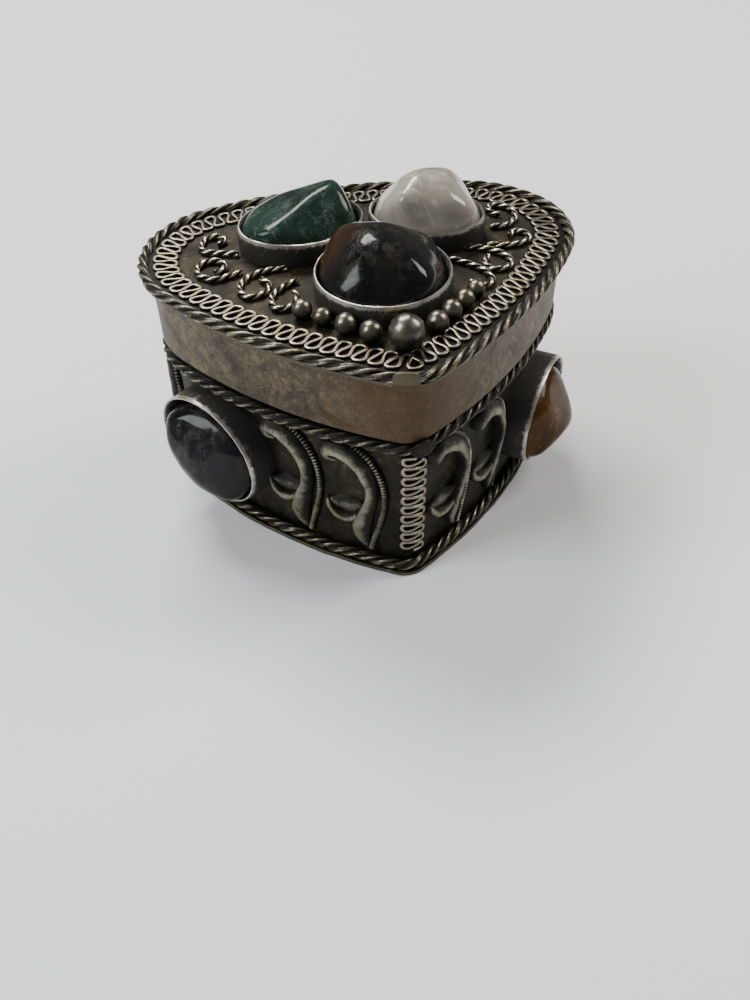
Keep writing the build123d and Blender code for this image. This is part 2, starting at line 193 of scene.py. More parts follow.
PLAN = Plan()
HEIGHTS = Heights()
WALL_OFFSET = -1.6
WALL = PLAN.at_offset(WALL_OFFSET)


def on_wall(station: float, height: float) -> Callable[[np.ndarray], np.ndarray]:
    """Mapping that lays flat work on the base wall.

    Args:
        station: Where on the band's face the flat work's origin goes.
        height: Height of that origin.

    Returns:
        A function of points (along the wall, up, out of the wall) in millimetres.
    """
    origin = WALL.run_of(station)

    def lay(points: np.ndarray) -> np.ndarray:
        """Points of the flat work, laid on the wall."""
        xy, normals = WALL.at(origin + points[:, 0])
        return np.column_stack([xy + normals * points[:, 2:3], height + points[:, 1]])

    return lay


# ---- Shader maths ------------------------------------------------------------------------


class Value:
    """A number in a shader, on which Python arithmetic adds Math nodes."""

    def __init__(self, shader: "Shader", socket: bpy.types.NodeSocket) -> None:
        """Wrap one output socket of a shader."""
        self.shader = shader
        self.socket = socket

    def _math(self, operation: str, *operands: "Value | float") -> "Value":
        """One Math node on these operands, in this order."""
        return self.shader.node("ShaderNodeMath", {"operation": operation}, dict(enumerate(operands)))

    def __add__(self, other: "Value | float") -> "Value":
        """Sum."""
        return self._math("ADD", self, other)

    __radd__ = __add__

    def __mul__(self, other: "Value | float") -> "Value":
        """Product."""
        return self._math("MULTIPLY", self, other)

    __rmul__ = __mul__

    def __sub__(self, other: "Value | float") -> "Value":
        """Difference."""
        return self._math("SUBTRACT", self, other)

    def __rsub__(self, other: float) -> "Value":
        """Difference from a number."""
        return self._math("SUBTRACT", other, self)

    def most(self, other: "Value | float") -> "Value":
        """The larger of two values."""
        return self._math("MAXIMUM", self, other)

    def ramp(self, low: float, high: float) -> "Value":
        """0 below low, 1 above high, smooth between."""
        settings = {"interpolation_type": "SMOOTHSTEP"}
        inputs = {"Value": self, "From Min": low, "From Max": high}
        return self.shader.node("ShaderNodeMapRange", settings, inputs)


class Shader:
    """A material under construction."""

    def __init__(self, name: str) -> None:
        """Start a material that holds only a Principled BSDF and its output."""
        self.material = bpy.data.materials.new(name)
        self.material.use_nodes = True
        self.tree = self.material.node_tree
        self.bsdf = next(n for n in self.tree.nodes if n.type == "BSDF_PRINCIPLED")
        self.place = self.node("ShaderNodeTexCoord", {}, {}, "Object").socket

    def _feed(self, socket: bpy.types.NodeSocket, value: object) -> None:
        """Link a value to a socket, or set the socket's own number or colour."""
        if isinstance(value, Value):
            self.tree.links.new(value.socket, socket)
        elif isinstance(value, bpy.types.NodeSocket):
            self.tree.links.new(value, socket)
        elif isinstance(value, tuple) and len(value) == 3 and socket.type == "RGBA":
            socket.default_value = (*value, 1.0)
        else:
            socket.default_value = value

    def node(self, kind: str, settings: dict, inputs: dict, output: str | int = 0) -> Value:
        """Add one node.

        Args:
            kind: Node type.
            settings: Properties set before anything else; "stops" fills a ramp.
            inputs: Values or links by socket name or index.
            output: Output to return.

        Returns:
            The output as a Value.
        """
        made = self.tree.nodes.new(kind)
        for key, value in settings.items():
            if key == "stops":
                self._stops(made.color_ramp, value)
            else:
                setattr(made, key, value)
        for key, value in inputs.items():
            self._feed(made.inputs[key], value)
        return Value(self, made.outputs[output])

    @staticmethod
    def _stops(ramp: bpy.types.ColorRamp, stops: Sequence[tuple[float, Colour]]) -> None:
        """Fill a colour ramp with (position, colour) stops."""
        while len(ramp.elements) < len(stops):
            ramp.elements.new(1.0)
        for element, (position, colour) in zip(ramp.elements, stops):
            element.position = position
            element.color = (*colour, 1.0)

    def mapped(self, turn: Sequence[float] = (0, 0, 0), stretch: Sequence[float] = (1, 1, 1),
               move: Sequence[float] = (0, 0, 0)) -> Value:
        """Object coordinates moved, turned and stretched."""
        inputs = {"Vector": self.place, "Location": tuple(move), "Rotation": tuple(turn),
                  "Scale": tuple(stretch)}
        return self.node("ShaderNodeMapping", {}, inputs)

    def noise(self, size: float, detail: float = 4.0, rough: float = 0.55, warp: float = 0.0,
              place: Value | None = None) -> Value:
        """Noise from 0 to 1 whose features are about size millimetres across."""
        inputs = {"Vector": place or self.place, "Scale": PER_MM / size, "Detail": detail,
                  "Roughness": rough, "Distortion": warp}
        return self.node("ShaderNodeTexNoise", {}, inputs)

    def cells(self, size: float, feature: str = "F1", place: Value | None = None) -> Value:
        """Distance within Voronoi cells of a size in millimetres."""
        inputs = {"Vector": place or self.place, "Scale": PER_MM / size}
        return self.node("ShaderNodeTexVoronoi", {"feature": feature}, inputs, "Distance")

    def attribute(self, name: str) -> Value:
        """A number stored on the mesh."""
        return self.node("ShaderNodeAttribute", {"attribute_name": name}, {}, "Fac")

    def axis(self, name: str) -> Value:
        """One object coordinate, in millimetres."""
        return self.node("ShaderNodeSeparateXYZ", {}, {0: self.place}, name) * PER_MM

    def mix(self, share: Value | float, first: Value | Colour, second: Value | Colour) -> Value:
        """Colour that goes from first to second as share goes from 0 to 1."""
        made = self.tree.nodes.new("ShaderNodeMix")
        made.data_type = "RGBA"
        for socket, value in ((made.inputs[0], share), (made.inputs[6], first), (made.inputs[7], second)):
            self._feed(socket, value)
        return Value(self, made.outputs[2])

    def bump(self, height: Value, depth: float, strength: float = 1.0) -> None:
        """Bump of a depth in millimetres on the surface."""
        inputs = {"Height": height, "Distance": depth * MM, "Strength": strength}
        self._feed(self.bsdf.inputs["Normal"], self.node("ShaderNodeBump", {}, inputs))

    def surface(self, **inputs: object) -> bpy.types.Material:
        """Set the Principled BSDF's inputs, with underscores for spaces, and return the material."""
        for key, value in inputs.items():
            self._feed(self.bsdf.inputs[key.replace("_", " ").title().replace("Ior", "IOR")], value)
        return self.material


# ---- Finishes ----------------------------------------------------------------------------


@dataclass(frozen=True)
class AgedSilver:
    """Silver plate, bright where it is rubbed and black in its hollows.

    The mesh attribute "relief" says how far a point stands out, from 0 to 1. On the upper rope it is also
    lowered towards the rope's top, partly for grime and partly as painted shade under the lid band.
    """

    name: str
    bright: Colour = (0.285, 0.26, 0.185)
    dark: Colour = (0.013, 0.011, 0.007)
    wear_from: float = 0.25
    wear_to: float = 0.8
    polish: float = 0.3
    grain: float = 0.5
    mottle: float = 1.3

    def build(self) -> bpy.types.Material:
        """Make the material."""
        s = Shader(self.name)
        blotch = s.noise(2.6 * self.grain, 5.0, 0.6)
        speck = s.noise(0.6 * self.grain, 4.0, 0.75)
        stain = (blotch - 0.5) * self.mottle + (speck - 0.5) * 0.9
        wear = (s.attribute("relief") + stain).ramp(self.wear_from, self.wear_to)
        yellowed = tuple(c * k for c, k in zip(self.bright, (1.0, 0.9, 0.72)))
        tint = s.mix(s.noise(4.0, 3.0).ramp(0.45, 0.7), self.bright, yellowed)
        s.bump(blotch * 0.6 + speck * 0.4, 0.09 * self.grain)
        return s.surface(base_color=s.mix(wear, self.dark, tint), metallic=wear * 0.45 + 0.55,
                         roughness=0.62 - wear * (0.62 - self.polish) + (speck - 0.5) * 0.18)


@dataclass(frozen=True)
class WornBand:
    """Plain plate worn through to copper at the nose, mottled and scratched elsewhere."""

    name: str = "band_plate"
    plate: Colour = (0.074, 0.059, 0.041)
    pale: Colour = (0.168, 0.133, 0.084)
    stain: Colour = (0.034, 0.024, 0.021)
    copper: Colour = (0.066, 0.033, 0.0125)
    olive: Colour = (0.095, 0.086, 0.056)

    def build(self) -> bpy.types.Material:
        """Make the material."""
        s = Shader(self.name)
        cloud = s.noise(6.0, 6.0, 0.65, 0.5)
        blotch = s.noise(1.7, 7.0, 0.7, 0.4)
        speck = s.noise(0.42, 5.0, 0.8)
        nose = (0.0 - s.axis("Y") + (blotch - 0.5) * 14.0 + (cloud - 0.5) * 16.0).ramp(20.0, 27.5)
        base = s.mix((blotch + (speck - 0.5) * 0.5).ramp(0.42, 0.64), self.plate, self.pale)
        stained = s.mix((cloud + (blotch - 0.5) * 0.6).ramp(0.5, 0.64) * 0.85, base, self.stain)
        worn = s.mix(nose * 0.8, stained, self.copper)
        dust = (speck + (blotch - 0.5) * 0.5).ramp(0.56, 0.7)
        coloured = s.mix(dust * (0.75 - nose * 0.35), worn, self.pale)
        pits = 1.0 - s.cells(1.1).ramp(0.03, 0.2)
        grime = (speck * 0.7 + pits * 0.5).ramp(0.6, 0.85)
        tab = s.axis("Z").ramp(42.4, 42.9)
        scratch_place = s.mapped(turn=(0.0, 0.0, 0.5), stretch=(0.35, 0.35, 6.0))
        scratch = s.noise(1.0, 2.0, 0.5, 0.6, scratch_place).ramp(0.62, 0.66)
        s.bump(blotch * 0.5 + speck * 0.4 - pits * 0.25 - scratch * 0.25, 0.07)
        rubbed = s.mix(tab * 0.8, s.mix(grime * 0.8, coloured, self.stain), self.olive)
        return s.surface(base_color=rubbed, metallic=0.75 - nose * 0.15,
                         roughness=0.42 + blotch * 0.22 - dust * 0.1)


@dataclass(frozen=True)
class DarkSheet:
    """Oxidised sheet: near black, olive and brown, with rubbed specks."""

    name: str = "sheet_dark"
    dark: Colour = (0.006, 0.005, 0.0035)
    olive: Colour = (0.046, 0.037, 0.019)
    rubbed: Colour = (0.17, 0.15, 0.115)
    shine: float = 0.42

    def build(self) -> bpy.types.Material:
        """Make the material."""
        s = Shader(self.name)
        cloud = s.noise(5.0, 5.0, 0.6, 0.5)
        speck = s.noise(0.7, 5.0, 0.7)
        clean = s.attribute("relief")
        edge = (clean - 1.0).most(0.0)
        base = s.mix(cloud.ramp(0.3, 0.8) * clean, self.dark, self.olive)
        rub = (speck + (cloud - 0.5) * 0.5).ramp(0.6, 0.74) * clean + edge * 0.7
        s.bump(cloud * 0.5 + speck * 0.5, 0.12)
        return s.surface(base_color=s.mix(rub * 0.8, base, self.rubbed), metallic=rub * 0.35 + 0.6,
                         roughness=self.shine + speck * 0.25, specular_ior_level=0.3)


@dataclass(frozen=True)
class PolishedStone:
    """Tumbled and polished stone with layers, clouds, veins and small flaws."""

    name: str
    deep: Colour
    body: Colour
    light: Colour
    vein: Colour
    veins: float = 0.5
    patch: Colour = (0.1, 0.1, 0.1)
    patch_at: tuple[float, float, float] = (0.0, 0.0, 0.0)
    patch_size: float = 0.0
    clarity: float = 0.0
    gloss: float = 0.4
    turn: tuple[float, float, float] = (0.6, 0.3, 0.2)
    layer: float = 3.0
    warp: float = 1.2

    def build(self) -> bpy.types.Material:
        """Make the material."""
        s = Shader(self.name)
        place = s.mapped(turn=self.turn, stretch=(1.0, 1.0, 0.45))
        cloud = s.noise(self.layer * 2.4, 5.0, 0.55, self.warp, place)
        layer = s.noise(self.layer, 4.0, 0.5, self.warp, place)
        fine = s.noise(0.8, 5.0, 0.65)
        tone = s.mix(cloud.ramp(0.35, 0.62), self.deep, self.body)
        toned = s.mix(layer.ramp(0.5, 0.72) * 0.7, tone, self.light)
        seam = s.cells(self.layer * 2.6, "DISTANCE_TO_EDGE", s.mix(0.12, place, s.noise(4.0, 4.0, 0.6)))
        vein = (1.0 - seam.ramp(0.0, 0.035)) * layer.ramp(0.35, 0.6)
        veined = s.mix(vein * self.veins, toned, self.vein)
        if self.patch_size:
            centre = [-c * MM for c in self.patch_at]
            from_patch = s.mapped(move=centre)
            ball = s.node("ShaderNodeVectorMath", {"operation": "LENGTH"}, {0: from_patch}, "Value")
            near = 1.0 - (ball * PER_MM + (cloud - 0.5) * self.patch_size * 1.4).ramp(
                0.35 * self.patch_size, 1.1 * self.patch_size)
            veined = s.mix(near, veined, self.patch)
        s.bump(fine * 0.3 + vein * 0.5, 0.01)
        dusted = s.mix(fine.ramp(0.6, 0.8) * 0.06, veined, self.light)
        return s.surface(base_color=dusted, roughness=0.05 + fine * 0.06, ior=1.54,
                         transmission_weight=self.clarity, specular_ior_level=self.gloss)


@dataclass(frozen=True)
class Studio:
    """Pale floor of the studio."""

    colour: Colour = (0.80, 0.81, 0.82)

    def build(self) -> bpy.types.Material:
        """Make the floor's material."""
        s = Shader("studio_floor")
        return s.surface(base_color=self.colour, roughness=0.55, specular_ior_level=0.3)


class Finish(Enum):
    """Every finish on the box, with the record's material slot it belongs to."""

    ROPE = (AgedSilver("rope_silver", wear_from=0.45, wear_to=1.15, polish=0.24), "rope_wire")
    SCROLL = (AgedSilver("scroll_silver", bright=(0.6, 0.56, 0.43), wear_from=0.35, wear_to=0.85,
                         polish=0.22, mottle=0.7), "rope_wire")
    FLAT_WIRE = (AgedSilver("flat_wire_silver", bright=(0.285, 0.255, 0.2), wear_from=0.0, wear_to=0.6,
                            polish=0.34, mottle=0.8), "flat_wire")
    STAMPED = (AgedSilver("crescent_silver", bright=(0.27, 0.26, 0.205), wear_from=0.4, wear_to=1.25,
                          polish=0.4, grain=0.9), "stamped_silver")
    BALL = (AgedSilver("ball_silver", bright=(0.2, 0.185, 0.15), dark=(0.02, 0.018, 0.014), wear_from=0.2,
                       wear_to=0.9, polish=0.3), "solder_ball")
    BEZEL = (AgedSilver("bezel_silver", bright=(0.5, 0.48, 0.44), dark=(0.045, 0.04, 0.034), wear_from=0.45,
                        wear_to=1.0, polish=0.3), "bezel_strip")
    SHEET = (DarkSheet(), "oxidised_sheet")
    BAND = (WornBand(), "worn_band")
    BLACK = (PolishedStone("stone_smoky", deep=(0.004, 0.004, 0.004), body=(0.01, 0.01, 0.008),
                           light=(0.024, 0.024, 0.017), vein=(0.05, 0.05, 0.04), veins=0.3,
                           patch=(0.03, 0.014, 0.007), patch_at=(-6.0, 0.0, 50.0), patch_size=8.0,
                           gloss=0.18), "smoky_stone")
    GREEN = (PolishedStone("stone_green", deep=(0.008, 0.013, 0.008), body=(0.012, 0.03, 0.022),
                           light=(0.032, 0.058, 0.044), vein=(0.22, 0.27, 0.24), veins=0.45,
                           gloss=0.16), "green_agate")
    CLEAR = (PolishedStone("stone_milky", deep=(0.34, 0.31, 0.25), body=(0.5, 0.45, 0.38),
                           light=(0.66, 0.6, 0.53), vein=(0.5, 0.45, 0.42), veins=0.3,
                           patch=(0.12, 0.11, 0.055), patch_at=(13.0, 15.0, 53.0), patch_size=4.0,
                           clarity=0.35), "milky_quartz")
    PLUM = (PolishedStone("stone_plum", deep=(0.005, 0.0045, 0.0055), body=(0.015, 0.013, 0.015),
                          light=(0.035, 0.032, 0.032), vein=(0.2, 0.19, 0.18), veins=0.3,
                          patch=(0.005, 0.03, 0.02), patch_at=(-34.0, -14.0, 20.0), patch_size=4.5,
                          gloss=0.16), "plum_agate")
    AMBER = (PolishedStone("stone_amber", deep=(0.034, 0.012, 0.003), body=(0.066, 0.027, 0.005),
                           light=(0.11, 0.052, 0.012), vein=(0.4, 0.25, 0.1), veins=0.3,
                           patch=(0.14, 0.095, 0.014), patch_at=(34.0, -13.0, 20.5), patch_size=6.0,
                           gloss=0.1), "amber_agate")

    @property
    def slot(self) -> str:
        """Material slot of the record."""
        return self.value[1]

    def material(self) -> bpy.types.Material:
        """The finish's material, built once."""
        recipe = self.value[0]
        return bpy.data.materials.get(recipe.name) or recipe.build()


# ---- Meshes ------------------------------------------------------------------------------


@dataclass
class Shape:
    """Points in millimetres, faces, and how far each point stands out of its surroundings."""

    points: np.ndarray
    faces: list[tuple[int, ...]]
    relief: np.ndarray | None = None

    def moved(self, place: Callable[[np.ndarray], np.ndarray]) -> "Shape":
        """The same shape with its points mapped."""
        return Shape(place(self.points), self.faces, self.relief)

    @staticmethod
    def joined(shapes: Iterable["Shape"]) -> "Shape":
        """Several shapes as one."""
        points, faces, relief, count = [], [], [], 0
        for shape in shapes:
            points.append(shape.points)
            faces += [tuple(i + count for i in face) for face in shape.faces]
            relief.append(np.ones(len(shape.points)) if shape.relief is None else shape.relief)
            count += len(shape.points)
        return Shape(np.concatenate(points), faces, np.concatenate(relief))

    @staticmethod
    def grid(rows: np.ndarray, closed: bool = True, capped: bool = False,
             relief: np.ndarray | None = None) -> "Shape":
        """Skin over rows of points, each row a closed section.

        Args:
            rows: Array of sections, points in a section, and x, y, z.
            closed: The last section joins the first.
            capped: The first and last sections are filled.
            relief: Relief of each point, in the same layout.
        """
        n, m, _ = rows.shape
        faces = []
        for i in range(n if closed else n - 1):
            a, b = i * m, (i + 1) % n * m
            faces += [(a + j, b + j, b + (j + 1) % m, a + (j + 1) % m) for j in range(m)]
        if capped:
            faces += [tuple(range(m)), tuple(range(n * m - 1, (n - 1) * m - 1, -1))]
        return Shape(rows.reshape(-1, 3), faces, None if relief is None else relief.reshape(-1))


def smooth_line(points: Sequence[Sequence[float]], count: int) -> np.ndarray:
    """Catmull-Rom line through points, sampled evenly in its parameter."""
    p = np.array(points, float)
    p = np.vstack([2 * p[0] - p[1], p, 2 * p[-1] - p[-2]])
    t = np.linspace(0, len(points) - 1 - 1e-9, count)
    k, u = t.astype(int), (t % 1)[:, None]
    a, b, c, d = p[k], p[k + 1], p[k + 2], p[k + 3]
    return 0.5 * (2 * b + (c - a) * u + (2 * a - 5 * b + 4 * c - d) * u**2 + (3 * b - a - 3 * c + d) * u**3)


def uneven(points: np.ndarray, size: float, depth: float, seed: float) -> np.ndarray:
    """Smooth random number for each point.

    Args:
        points: Points in millimetres.
        size: Distance over which it varies.
        depth: Largest value.
        seed: Moves the pattern.
    """
    shift = Vector((seed * 7.3, seed * 3.1, seed * 5.7))
    return depth * np.array([noise.noise(Vector(p) / size + shift) for p in points])


def outward(shape: Shape) -> np.ndarray:
    """Unit normal of each point of a shape."""
    mesh = bpy.data.meshes.new("normals")
    mesh.from_pydata(shape.points.tolist(), [], shape.faces)
    normals = np.zeros(len(shape.points) * 3)
    mesh.vertex_normals.foreach_get("vector", normals)
    bpy.data.meshes.remove(mesh)
    return normals.reshape(-1, 3)


def roughened(shape: Shape, size: float, depth: float, seed: float) -> Shape:
    """The shape with hand-made unevenness pushed along its normals."""
    push = uneven(shape.points, size, depth, seed)[:, None] * outward(shape)
    return Shape(shape.points + push, shape.faces, shape.relief)


# ---- Geometry Nodes ----------------------------------------------------------------------


class Tree:
    """A Geometry Nodes tree under construction."""

    def __init__(self, name: str, **sizes: float | int) -> None:
        """Start a tree.

        Args:
            name: The tree's name.
            sizes: Named inputs with their defaults; whole numbers make integer inputs.
        """
        self.group = bpy.data.node_groups.new(name, "GeometryNodeTree")
        face = self.group.interface
        face.new_socket("Geometry", in_out="INPUT", socket_type="NodeSocketGeometry")
        for key, value in sizes.items():
            kind = "NodeSocketInt" if isinstance(value, int) else "NodeSocketFloat"
            face.new_socket(key, in_out="INPUT", socket_type=kind).default_value = value
        face.new_socket("Finish", in_out="INPUT", socket_type="NodeSocketMaterial")
        face.new_socket("Geometry", in_out="OUTPUT", socket_type="NodeSocketGeometry")
        self.given = self.group.nodes.new("NodeGroupInput").outputs

    def node(self, kind: str, inputs: dict | None = None, output: str | int = 0,
             **settings: object) -> bpy.types.NodeSocket:
        """Add a node, set its settings and inputs, and return one output."""
        made = self.group.nodes.new(kind)
        for key, value in settings.items():
            setattr(made, key, value)
        for key, value in (inputs or {}).items():
            if isinstance(value, bpy.types.NodeSocket):
                self.group.links.new(value, made.inputs[key])
            else:
                made.inputs[key].default_value = value
        return made.outputs[output]

    def math(self, operation: str, *operands: object) -> bpy.types.NodeSocket:
        """One Math node."""
        return self.node("ShaderNodeMath", dict(enumerate(operands)), operation=operation)

    def scaled(self, vector: bpy.types.NodeSocket, amount: object) -> bpy.types.NodeSocket:
        """A vector times a number."""
        return self.node("ShaderNodeVectorMath", {0: vector, "Scale": amount}, operation="SCALE")

    def vector(self, operation: str, first: object, second: object) -> bpy.types.NodeSocket:
        """One Vector Math node on two vectors."""
        return self.node("ShaderNodeVectorMath", {0: first, 1: second}, operation=operation)

    def wave(self, turns: bpy.types.NodeSocket, shape: str = "SINE") -> bpy.types.NodeSocket:
        """Sine or cosine of a number of turns."""
        return self.math(shape, self.math("MULTIPLY", turns, TURN))

    def curve(self) -> bpy.types.NodeSocket:
        """The given line of points as a curve."""
        return self.node("GeometryNodeMeshToCurve", {"Mesh": self.given["Geometry"]})

    def resampled(self, count: bpy.types.NodeSocket) -> bpy.types.NodeSocket:
        """The given line with its points spaced evenly."""
        return self.node("GeometryNodeResampleCurve", {"Curve": self.curve(), "Count": count})

    def directions(self) -> tuple[bpy.types.NodeSocket, bpy.types.NodeSocket]:
        """Unit vectors along the line, and level across it."""
        tangent = self.node("GeometryNodeInputTangent")
        level = self.vector("CROSS_PRODUCT", tangent, (0.0, 0.0, 1.0))
        return tangent, self.vector("NORMALIZE", level, (0.0, 0.0, 0.0))

    def height(self) -> bpy.types.NodeSocket:
        """Height of each point above the line's plane."""
        return self.node("ShaderNodeSeparateXYZ", {0: self.node("GeometryNodeInputPosition")}, "Z")

    def with_relief(self, geometry: bpy.types.NodeSocket, value: bpy.types.NodeSocket, low: float,
                    high: float) -> bpy.types.NodeSocket:
        """Geometry that stores a relief of 0 to 1 as a value goes from low to high."""
        limits = {"Value": value, "From Min": low, "From Max": high}
        relief = self.node("ShaderNodeMapRange", limits, "Result")
        return self.node("GeometryNodeStoreNamedAttribute",
                         {"Geometry": geometry, "Name": "relief", "Value": relief}, data_type="FLOAT",
                         domain="POINT")

    def shaken(self, geometry: bpy.types.NodeSocket, size: float, depth: object) -> bpy.types.NodeSocket:
        """Geometry pushed along its normals by fixed noise."""
        wobble = self.node("ShaderNodeTexNoise", {"Scale": 1 / size, "Detail": 2.0}, "Fac")
        push = self.math("MULTIPLY", self.math("SUBTRACT", wobble, 0.5), depth)
        offset = self.scaled(self.node("GeometryNodeInputNormal"), push)
        return self.node("GeometryNodeSetPosition", {"Geometry": geometry, "Offset": offset})

    def finish(self, geometry: bpy.types.NodeSocket) -> bpy.types.NodeTree:
        """Realize instances, set the finish and close the tree."""
        smooth = self.node("GeometryNodeSetShadeSmooth", {"Geometry": geometry})
        real = self.node("GeometryNodeRealizeInstances", {"Geometry": smooth})
        dressed = self.node("GeometryNodeSetMaterial", {"Geometry": real, "Material": self.given["Finish"]})
        self.group.links.new(dressed, self.group.nodes.new("NodeGroupOutput").inputs[0])
        return self.group

    @staticmethod
    def run(group: bpy.types.NodeTree, path: np.ndarray, closed: bool, finish: "Finish",
            **sizes: float | int) -> Shape:
        """Run a tree on a line of points.

        Args:
            group: The tree.
            path: Points of the line.
            closed: The line closes on itself.
            finish: Finish handed to the tree.
            sizes: The tree's inputs by name.

        Returns:
            The evaluated result as a shape, with its relief attribute.
        """
        mesh = bpy.data.meshes.new("path")
        count = len(path)
        edges = [(i, (i + 1) % count) for i in range(count if closed else count - 1)]
        mesh.from_pydata(path.tolist(), edges, [])
        host = bpy.data.objects.new("path", mesh)
        bpy.context.scene.collection.objects.link(host)
        modifier = host.modifiers.new("tree", "NODES")
        modifier.node_group = group
        sockets = {i.name: i.identifier for i in group.interface.items_tree if i.in_out == "INPUT"}
        modifier[sockets["Finish"]] = finish.material()
        for key, value in sizes.items():
            modifier[sockets[key]] = value
        graph = bpy.context.evaluated_depsgraph_get()
        made = bpy.data.meshes.new_from_object(host.evaluated_get(graph))
        points = np.zeros(len(made.vertices) * 3)
        made.vertices.foreach_get("co", points)
        relief = np.ones(len(made.vertices), np.float32)
        if "relief" in made.attributes:
            made.attributes["relief"].data.foreach_get("value", relief)
        faces = [tuple(f.vertices) for f in made.polygons]
        shape = Shape(points.reshape(-1, 3), faces, relief.astype(float))
        bpy.data.objects.remove(host)
        bpy.data.meshes.remove(made)
        bpy.data.meshes.remove(mesh)
        return shape


def rope_tree(strands: int, wires: int) -> bpy.types.NodeTree:
    """Rope twisted from strands, each twisted from wires, along a level line.

    Args:
        strands: Strands in the rope.
        wires: Wires in each strand.
    """
    t = Tree(f"rope_{strands}x{wires}", Samples=600, Turns=30.0, StrandReach=0.5, WireTurns=60.0,
             WireReach=0.3, WireRadius=0.3, Sides=8, RopeRadius=1.0)
    line = t.resampled(t.given["Samples"])
    _, side = t.directions()
    along = t.node("GeometryNodeSplineParameter", {}, "Factor")
    profile = t.node("GeometryNodeCurvePrimitiveCircle",
                     {"Resolution": t.given["Sides"], "Radius": t.given["WireRadius"]})

    def circle(turns: object, phase: float, reach: object) -> bpy.types.NodeSocket:
        """Offset round the line at a number of turns."""
        angle = t.math("ADD", t.math("MULTIPLY", along, turns), phase)
        out = t.scaled(side, t.math("MULTIPLY", t.wave(angle, "COSINE"), reach))
        up = t.node("ShaderNodeCombineXYZ", {"Z": t.math("MULTIPLY", t.wave(angle), reach)})
        return t.vector("ADD", out, up)

    joined = t.group.nodes.new("GeometryNodeJoinGeometry")
    for strand in range(strands):
        lay = circle(t.given["Turns"], strand / strands, t.given["StrandReach"])
        for wire in range(wires):
            twist = circle(t.given["WireTurns"], wire / wires, t.given["WireReach"])
            offset = t.vector("ADD", lay, twist)
            moved = t.node("GeometryNodeSetPosition", {"Geometry": line, "Offset": offset})
            tube = t.node("GeometryNodeCurveToMesh",
                          {"Curve": moved, "Profile Curve": profile, "Fill Caps": True})
            t.group.links.new(tube, joined.inputs[0])
    rope = t.shaken(joined.outputs[0], 0.8, t.math("MULTIPLY", t.given["WireRadius"], 0.22))
    core = t.node("GeometryNodeCurveToMesh", {"Curve": line})
    far = t.node("GeometryNodeProximity", {0: core}, "Distance", target_element="EDGES")
    share = t.math("DIVIDE", far, t.given["RopeRadius"])
    return t.finish(t.with_relief(rope, share, 0.55, 1.0))


def meander_tree() -> bpy.types.NodeTree:
    """Flat wire bent into round-headed loops to and fro across a level line."""
    t = Tree("meander", Loops=76, SamplesPerLoop=36, Reach=2.0, Bulge=0.5, Lean=0.3, WireWidth=0.42,
             WireHeight=0.55, Wander=0.12)
    line = t.resampled(t.math("MULTIPLY", t.given["Loops"], t.given["SamplesPerLoop"]))
    tangent, side = t.directions()
    turns = t.math("MULTIPLY", t.node("GeometryNodeSplineParameter", {}, "Factor"), t.given["Loops"])
    head = t.math("MULTIPLY", t.wave(t.math("MULTIPLY", turns, 3.0)), 0.02)
    across = t.math("DIVIDE", t.math("ADD", t.wave(turns), head), 0.98)
    neck = t.math("MULTIPLY", t.wave(t.math("MULTIPLY", turns, 2.0)), t.given["Bulge"])
    shift = t.math("SUBTRACT", t.math("MULTIPLY", across, t.given["Lean"]), neck)
    rough = t.node("ShaderNodeTexNoise", {"Scale": 0.45, "Detail": 1.0}, "Color")
    wander = t.scaled(t.vector("SUBTRACT", rough, (0.5, 0.5, 0.5)), t.given["Wander"])
    flat = t.vector("MULTIPLY", wander, (1.0, 1.0, 0.0))
    sideways = t.scaled(side, t.math("MULTIPLY", across, t.given["Reach"]))
    offset = t.vector("ADD", sideways, t.scaled(tangent, shift))
    bent = t.node("GeometryNodeSetPosition", {"Geometry": line, "Offset": t.vector("ADD", offset, flat)})
    upright = t.node("GeometryNodeSetCurveNormal", {"Curve": bent}, mode="Z_UP")
    section = t.node("GeometryNodeCurvePrimitiveQuadrilateral",
                     {"Width": t.given["WireHeight"], "Height": t.given["WireWidth"]})
    soft = t.math("MULTIPLY", t.given["WireWidth"], 0.35)
    rounded = t.node("GeometryNodeFilletCurve", {"Curve": section, "Radius": soft, "Count": 2}, mode="POLY")
    wire = t.node("GeometryNodeCurveToMesh", {"Curve": upright, "Profile Curve": rounded, "Fill Caps": True})
    return t.finish(t.shaken(t.with_relief(wire, t.height(), -0.3, 0.25), 0.9, 0.06))


def bead_tree() -> bpy.types.NodeTree:
    """Ribs strung across a level line, like a beaded wire."""
    t = Tree("beads", Pitch=0.6, Across=0.72, Along=0.31, Tall=1.0)
    line = t.node("GeometryNodeSetCurveNormal", {"Curve": t.curve()}, mode="Z_UP")
    spots = t.group.nodes.new("GeometryNodeCurveToPoints")
    spots.mode = "LENGTH"
    t.group.links.new(line, spots.inputs["Curve"])
    t.group.links.new(t.given["Pitch"], spots.inputs["Length"])
    rib = t.node("GeometryNodeMeshUVSphere", {"Segments": 12, "Rings": 7, "Radius": 1.0})
    size = t.node("ShaderNodeCombineXYZ",
                  {"X": t.given["Across"], "Y": t.given["Tall"], "Z": t.given["Along"]})
    beads = t.node("GeometryNodeInstanceOnPoints",
                   {"Points": spots.outputs["Points"], "Instance": rib,
                    "Rotation": spots.outputs["Rotation"], "Scale": size})
    real = t.node("GeometryNodeRealizeInstances", {"Geometry": beads})
    return t.finish(t.with_relief(real, t.height(), 0.2, 0.95))


# ---- Workshop ----------------------------------------------------------------------------


